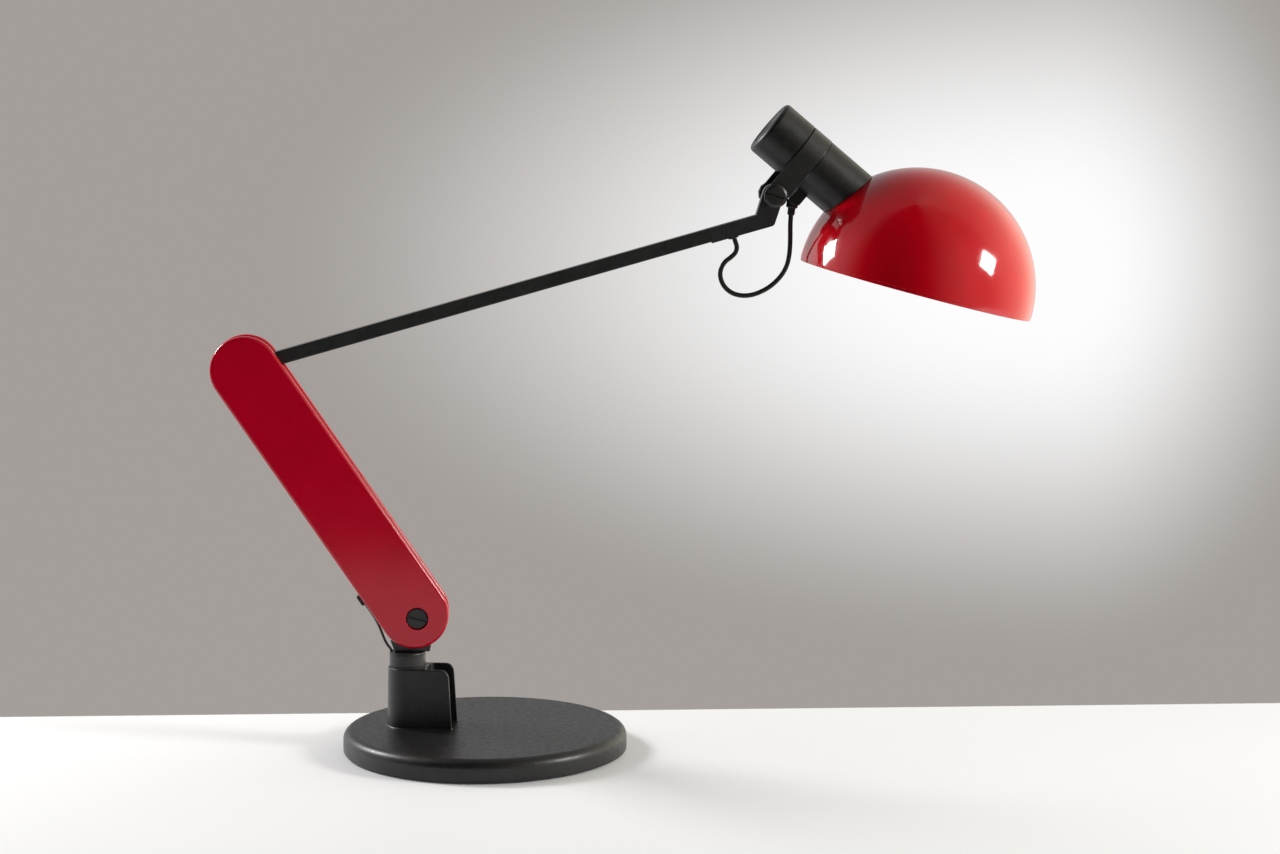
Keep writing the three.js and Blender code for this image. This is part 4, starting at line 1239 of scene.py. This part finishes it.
# ------------------------------------------------------------------------- cords
@dataclass
class Lead:
    """A free lead that follows a route in the lamp's upright plane."""

    node: str
    route: list[Pair]  # millimetres, along X and Z
    start: Vector  # where it really starts and ends
    end: Vector
    wide: float  # metres, as the thickness is
    thick: float
    bodies: tuple[str, str]  # what its two ends ride on
    steps: int  # rings between two points of the route
    flank: float = 81.347  # degrees of a core's round side, either way from its middle

    def points(self) -> list[Vector]:
        """Gives a smooth, finely stepped centreline through the shifted route."""
        level = POST_AXIS.y
        raw = [Vector((x * MM, level, z * MM)) for x, z in self.route]
        last = len(raw) - 1
        head, tail = self.start - raw[0], self.end - raw[-1]
        knots = [p + head * (1 - i / last) + tail * (i / last) for i, p in enumerate(raw)]
        knots = [2 * knots[0] - knots[1], *knots, 2 * knots[-1] - knots[-2]]
        fine: list[Vector] = []
        for a, b, c, d in zip(knots, knots[1:], knots[2:], knots[3:]):
            for k in range(self.steps):
                t = k / self.steps
                fine.append(0.5 * (2 * b + (c - a) * t + (2 * a - 5 * b + 4 * c - d) * t ** 2
                                   + (3 * b - a - 3 * c + d) * t ** 3))
        return fine + [knots[-2]]

    def section(self) -> list[Pair]:
        """Gives the outline of the lead: a flat oval round two cores, or a circle."""
        r = self.thick / 2
        apart = self.wide / 2 - r
        if apart < 1e-6:
            return circle((0, 0), r, 16)
        return [*arc((apart, 0), r, -self.flank, self.flank, 8),
                *arc((-apart, 0), r, 180 - self.flank, 180 + self.flank, 8)]

    def build(self) -> None:
        """Models the lead ring by ring."""
        path, ring = self.points(), self.section()
        side = Vector((0, 1, 0))
        corners, faces, count = [], [], len(ring)
        for i, p in enumerate(path):
            ahead = (path[min(i + 1, len(path) - 1)] - path[max(i - 1, 0)]).normalized()
            across = ahead.cross(side).normalized()
            corners += [p + across * u + side * v for u, v in ring]
        for i in range(len(path) - 1):
            for k in range(count):
                a, b = i * count + k, i * count + (k + 1) % count
                faces.append((a, b, b + count, a + count))
        faces += [tuple(range(count))[::-1], tuple(range((len(path) - 1) * count, len(path) * count))]
        mesh = bpy.data.meshes.new(f"{self.node}_finished")
        mesh.from_pydata(corners, [], faces)
        piece = bpy.data.objects.new(mesh.name, mesh)
        bpy.context.collection.objects.link(piece)
        Bench.take(piece, edit=True)
        bpy.ops.mesh.normals_make_consistent(inside=False)
        bpy.ops.object.mode_set(mode="OBJECT")
        mesh.materials.append(FLEX.material())
        bpy.ops.object.shade_smooth_by_angle(angle=math.radians(60))
        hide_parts(self.node)
        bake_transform(piece)


def in_place(place: Matrix, x: float, z: float) -> Vector:
    """Gives a point of a turned group in the lamp's metres."""
    return place @ Vector((x, 0, z))


def leads() -> list[Lead]:
    """Gives the two leads, with the routes that their solids follow."""
    head, upper = Head(), UpperArm()
    down = -head.exit_turn
    relief = (head.mouth[0] + 6 * math.cos(down), head.mouth[1] + 6 * math.sin(down))
    under = -upper.high / 2 - upper.drop - upper.casting_drop
    loop = [
        (259.3, 457.8), (258.7, 452), (258.3, 444), (258.3, 435.5), (258.1, 427), (257.4, 419),
        (255.6, 411.2), (252.1, 404), (247, 397.8), (240.9, 392.6), (234, 388.7), (226.4, 386),
        (218.5, 385.3), (211, 386.9), (204.9, 390.8), (200.9, 396.4), (199.3, 402.8), (200.4, 409),
        (203.6, 413.9), (208, 417.4), (211.6, 421), (213, 425.4), (211.9, 430.2), (210.3, 434.3),
        (209.1, 437.4)]
    short = [
        (-100.9, 129), (-98.7, 125.7), (-96.5, 122.4), (-94.4, 119), (-92.3, 115.4), (-90.4, 111.7),
        (-88.7, 107.9), (-87.2, 104), (-85.9, 100.1), (-84.6, 96.2), (-83.2, 92.5), (-81.5, 89.3),
        (-79.7, 86.7), (-78.7, 84.2), (-78.5, 81.4), (-78.5, 78)]
    arm, post = LowerArm(), SwivelPost()
    return [
        Lead("head_cord", loop, in_place(head.place(), *relief),
             in_place(upper.place(), upper.entry, under + 3), 0.004, 0.0023, ("head", "upper_arm"), 5),
        Lead("lower_lead", short, in_place(arm.place(), -arm.radius - arm.lead_out, 37),
             in_place(post.place(), post.lead_in - post.radius, post.top - 6), 0.0022, 0.0022,
             ("lower_arm", "post"), 4),
    ]


# ------------------------------------------------------------------------- studio
@dataclass
class Softbox:
    """A soft lamp of the studio, aimed at the shade."""

    name: str
    towards: Triple  # direction from the shade
    away: float
    size: float
    watts: float
    roll: float = 0.0  # turn about its own axis, in degrees
    mirrored: bool = True  # whether gloss shows it
    tint: Colour = (1.0, 1.0, 1.0)
    aim: Triple = (0.36, 0.0, 0.39)

    def build(self) -> None:
        """Hangs the lamp."""
        light = bpy.data.lights.new(self.name, "AREA")
        light.shape, light.size, light.energy, light.color = "SQUARE", self.size, self.watts, self.tint
        lamp = bpy.data.objects.new(self.name, light)
        lamp.location = Vector(self.aim) + Vector(self.towards).normalized() * self.away
        facing = (Vector(self.aim) - lamp.location).to_track_quat("-Z", "Y").to_matrix().to_4x4()
        lamp.rotation_euler = (facing @ Matrix.Rotation(math.radians(self.roll), 4, "Z")).to_euler()
        lamp.visible_glossy = self.mirrored
        bpy.context.collection.objects.link(lamp)


@dataclass
class Studio:
    """Camera, table and soft light."""

    camera_at: Triple = (0.02161, -2.28869, 0.56320)
    camera_down: float = math.radians(7.16386)
    camera_right: float = math.radians(2.75)
    lens: float = 77.34
    sensor: float = 36.0
    table_back: float = 0.14
    table_front: float = -0.92
    table_half: float = 1.8
    pool_at: Pair = (0.195, -0.065)  # towards the pool of light on the wall: across and up
    pool_falls: Triple = (3.5, 9.2, 7.0)  # how fast it falls off left, right, up and down

    def camera(self) -> None:
        """Sets up the camera."""
        data = bpy.data.cameras.new("camera")
        data.lens, data.sensor_width, data.clip_start = self.lens, self.sensor, 0.05
        camera = bpy.data.objects.new("camera", data)
        camera.location = self.camera_at
        camera.rotation_euler = (math.pi / 2 - self.camera_down, 0, -self.camera_right)
        bpy.context.collection.objects.link(camera)
        bpy.context.scene.camera = camera

    def table(self) -> None:
        """Lays the pale table."""
        Bench.clear()
        middle = (self.table_back + self.table_front) / 2
        bpy.ops.mesh.primitive_plane_add(size=1, location=(0, middle, 0))
        table = bpy.context.object
        table.name = "table"
        table.scale = (2 * self.table_half, self.table_back - self.table_front, 1)
        bpy.ops.object.transform_apply(location=True, rotation=True, scale=True)
        pale = bpy.data.materials.new("pale_table")
        pale.use_nodes = True
        graph = Graph(pale.node_tree)
        place = graph.node("ShaderNodeTexCoord", output="Object")
        cloud = graph.node("ShaderNodeTexNoise", {}, {"Vector": place, "Scale": 3.0})
        graph.feed(pale.node_tree.nodes["Principled BSDF"], {
            "Base Color": graph.blend(cloud, (0.80, 0.805, 0.82, 1), (0.83, 0.835, 0.85, 1)),
            "Roughness": 0.6, "Emission Color": (1, 1, 1, 1), "Emission Strength": 0.02})
        table.data.materials.append(pale)

    def surroundings(self) -> None:
        """Sets the wall behind and the soft light all round."""
        world = bpy.data.worlds.new("studio")
        world.use_nodes = True
        bpy.context.scene.world = world
        graph = Graph(world.node_tree)
        towards = graph.node("ShaderNodeTexCoord", output="Generated")
        split = graph.node("ShaderNodeSeparateXYZ", {}, {0: towards})
        x, y, z = (Value(graph, split.output.node.outputs[i]) for i in range(3))
        to_left, to_right, upright = self.pool_falls
        off = x - self.pool_at[0]
        wide = off * ((to_right + to_left) / 2) + abs(off) * ((to_right - to_left) / 2)
        high = (z - self.pool_at[1]) * upright
        spread = graph.node("ShaderNodeCombineXYZ", {}, {0: wide, 1: high})
        apart = graph.node("ShaderNodeVectorMath", {"operation": "LENGTH"}, {0: spread}, "Value")
        glow = (1 - apart.ramp(0.15, 1.0)) * y.ramp(0.0, 0.5)
        wall = graph.blend(glow, (0.37, 0.345, 0.325, 1), (0.98, 0.98, 0.985, 1))
        level = graph.node("ShaderNodeVectorMath", {"operation": "MULTIPLY"}, {0: towards, 1: (1, 1, 0)})
        heading = graph.node("ShaderNodeVectorMath", {"operation": "NORMALIZE"}, {0: level})
        parts = graph.node("ShaderNodeSeparateXYZ", {}, {0: heading})
        across, ahead = (Value(graph, parts.output.node.outputs[i]) for i in range(2))
        # Dark in front of the lamp, brightest to its right, with a low band of light behind it.
        front = (0 - ahead).ramp(0.0, 0.5)
        right = across.ramp(-0.05, 0.8)
        sides = (0.46 * (1 - front) + right * 0.55) * (1 - z.ramp(0.35, 0.95) * 0.55)
        behind = ahead.ramp(-0.3, 0.8) * (1 - z.ramp(0.2, 0.7)) * abs(across).ramp(0.2, 0.75)
        ambient = sides + behind * 0.6 + 0.01
        warmth = graph.blend(right, (4, 4, 4, 1), (4, 3.75, 3.0, 1))
        soft = graph.blend(ambient * 0.25, (0, 0, 0, 1), warmth)
        seen = graph.node("ShaderNodeLightPath", output="Is Camera Ray")
        graph.feed(world.node_tree.nodes["Background"], {
            "Color": graph.blend(seen, soft, wall), "Strength": 1.0})

    def lamps(self) -> None:
        """Hangs the soft lamps."""
        for box in (
            Softbox("right_box", (0.875, -0.353, 0.331), 2.0, 0.50, 33, 45),
            Softbox("left_box", (-0.87, 0.33, 0.35), 2.0, 0.46, 26, 45),
            Softbox("left_panel", (-0.90, 0.10, 0.35), 2.6, 1.2, 14, mirrored=False),
            Softbox("right_panel", (0.95, -0.05, 0.30), 2.4, 1.6, 12, mirrored=False,
                    tint=(1.0, 0.95, 0.88)),
        ):
            box.build()

    def build(self) -> None:
        """Sets up the whole studio."""
        self.camera()
        self.table()
        self.surroundings()
        self.lamps()
        bpy.context.scene.view_settings.view_transform = "Standard"


def main() -> None:
    """Builds the studio, the leads and the sub-assemblies."""
    logging.basicConfig(level=logging.INFO, format="%(name)s: %(message)s")
    Studio().build()
    for lead in leads():
        lead.build()
    for part in (Stand(), SwivelPost(), LowerArm(), UpperArm(), Head()):
        log.info("building %s", type(part).__name__)
        part.build()


if __name__ == "__main__":
    main()
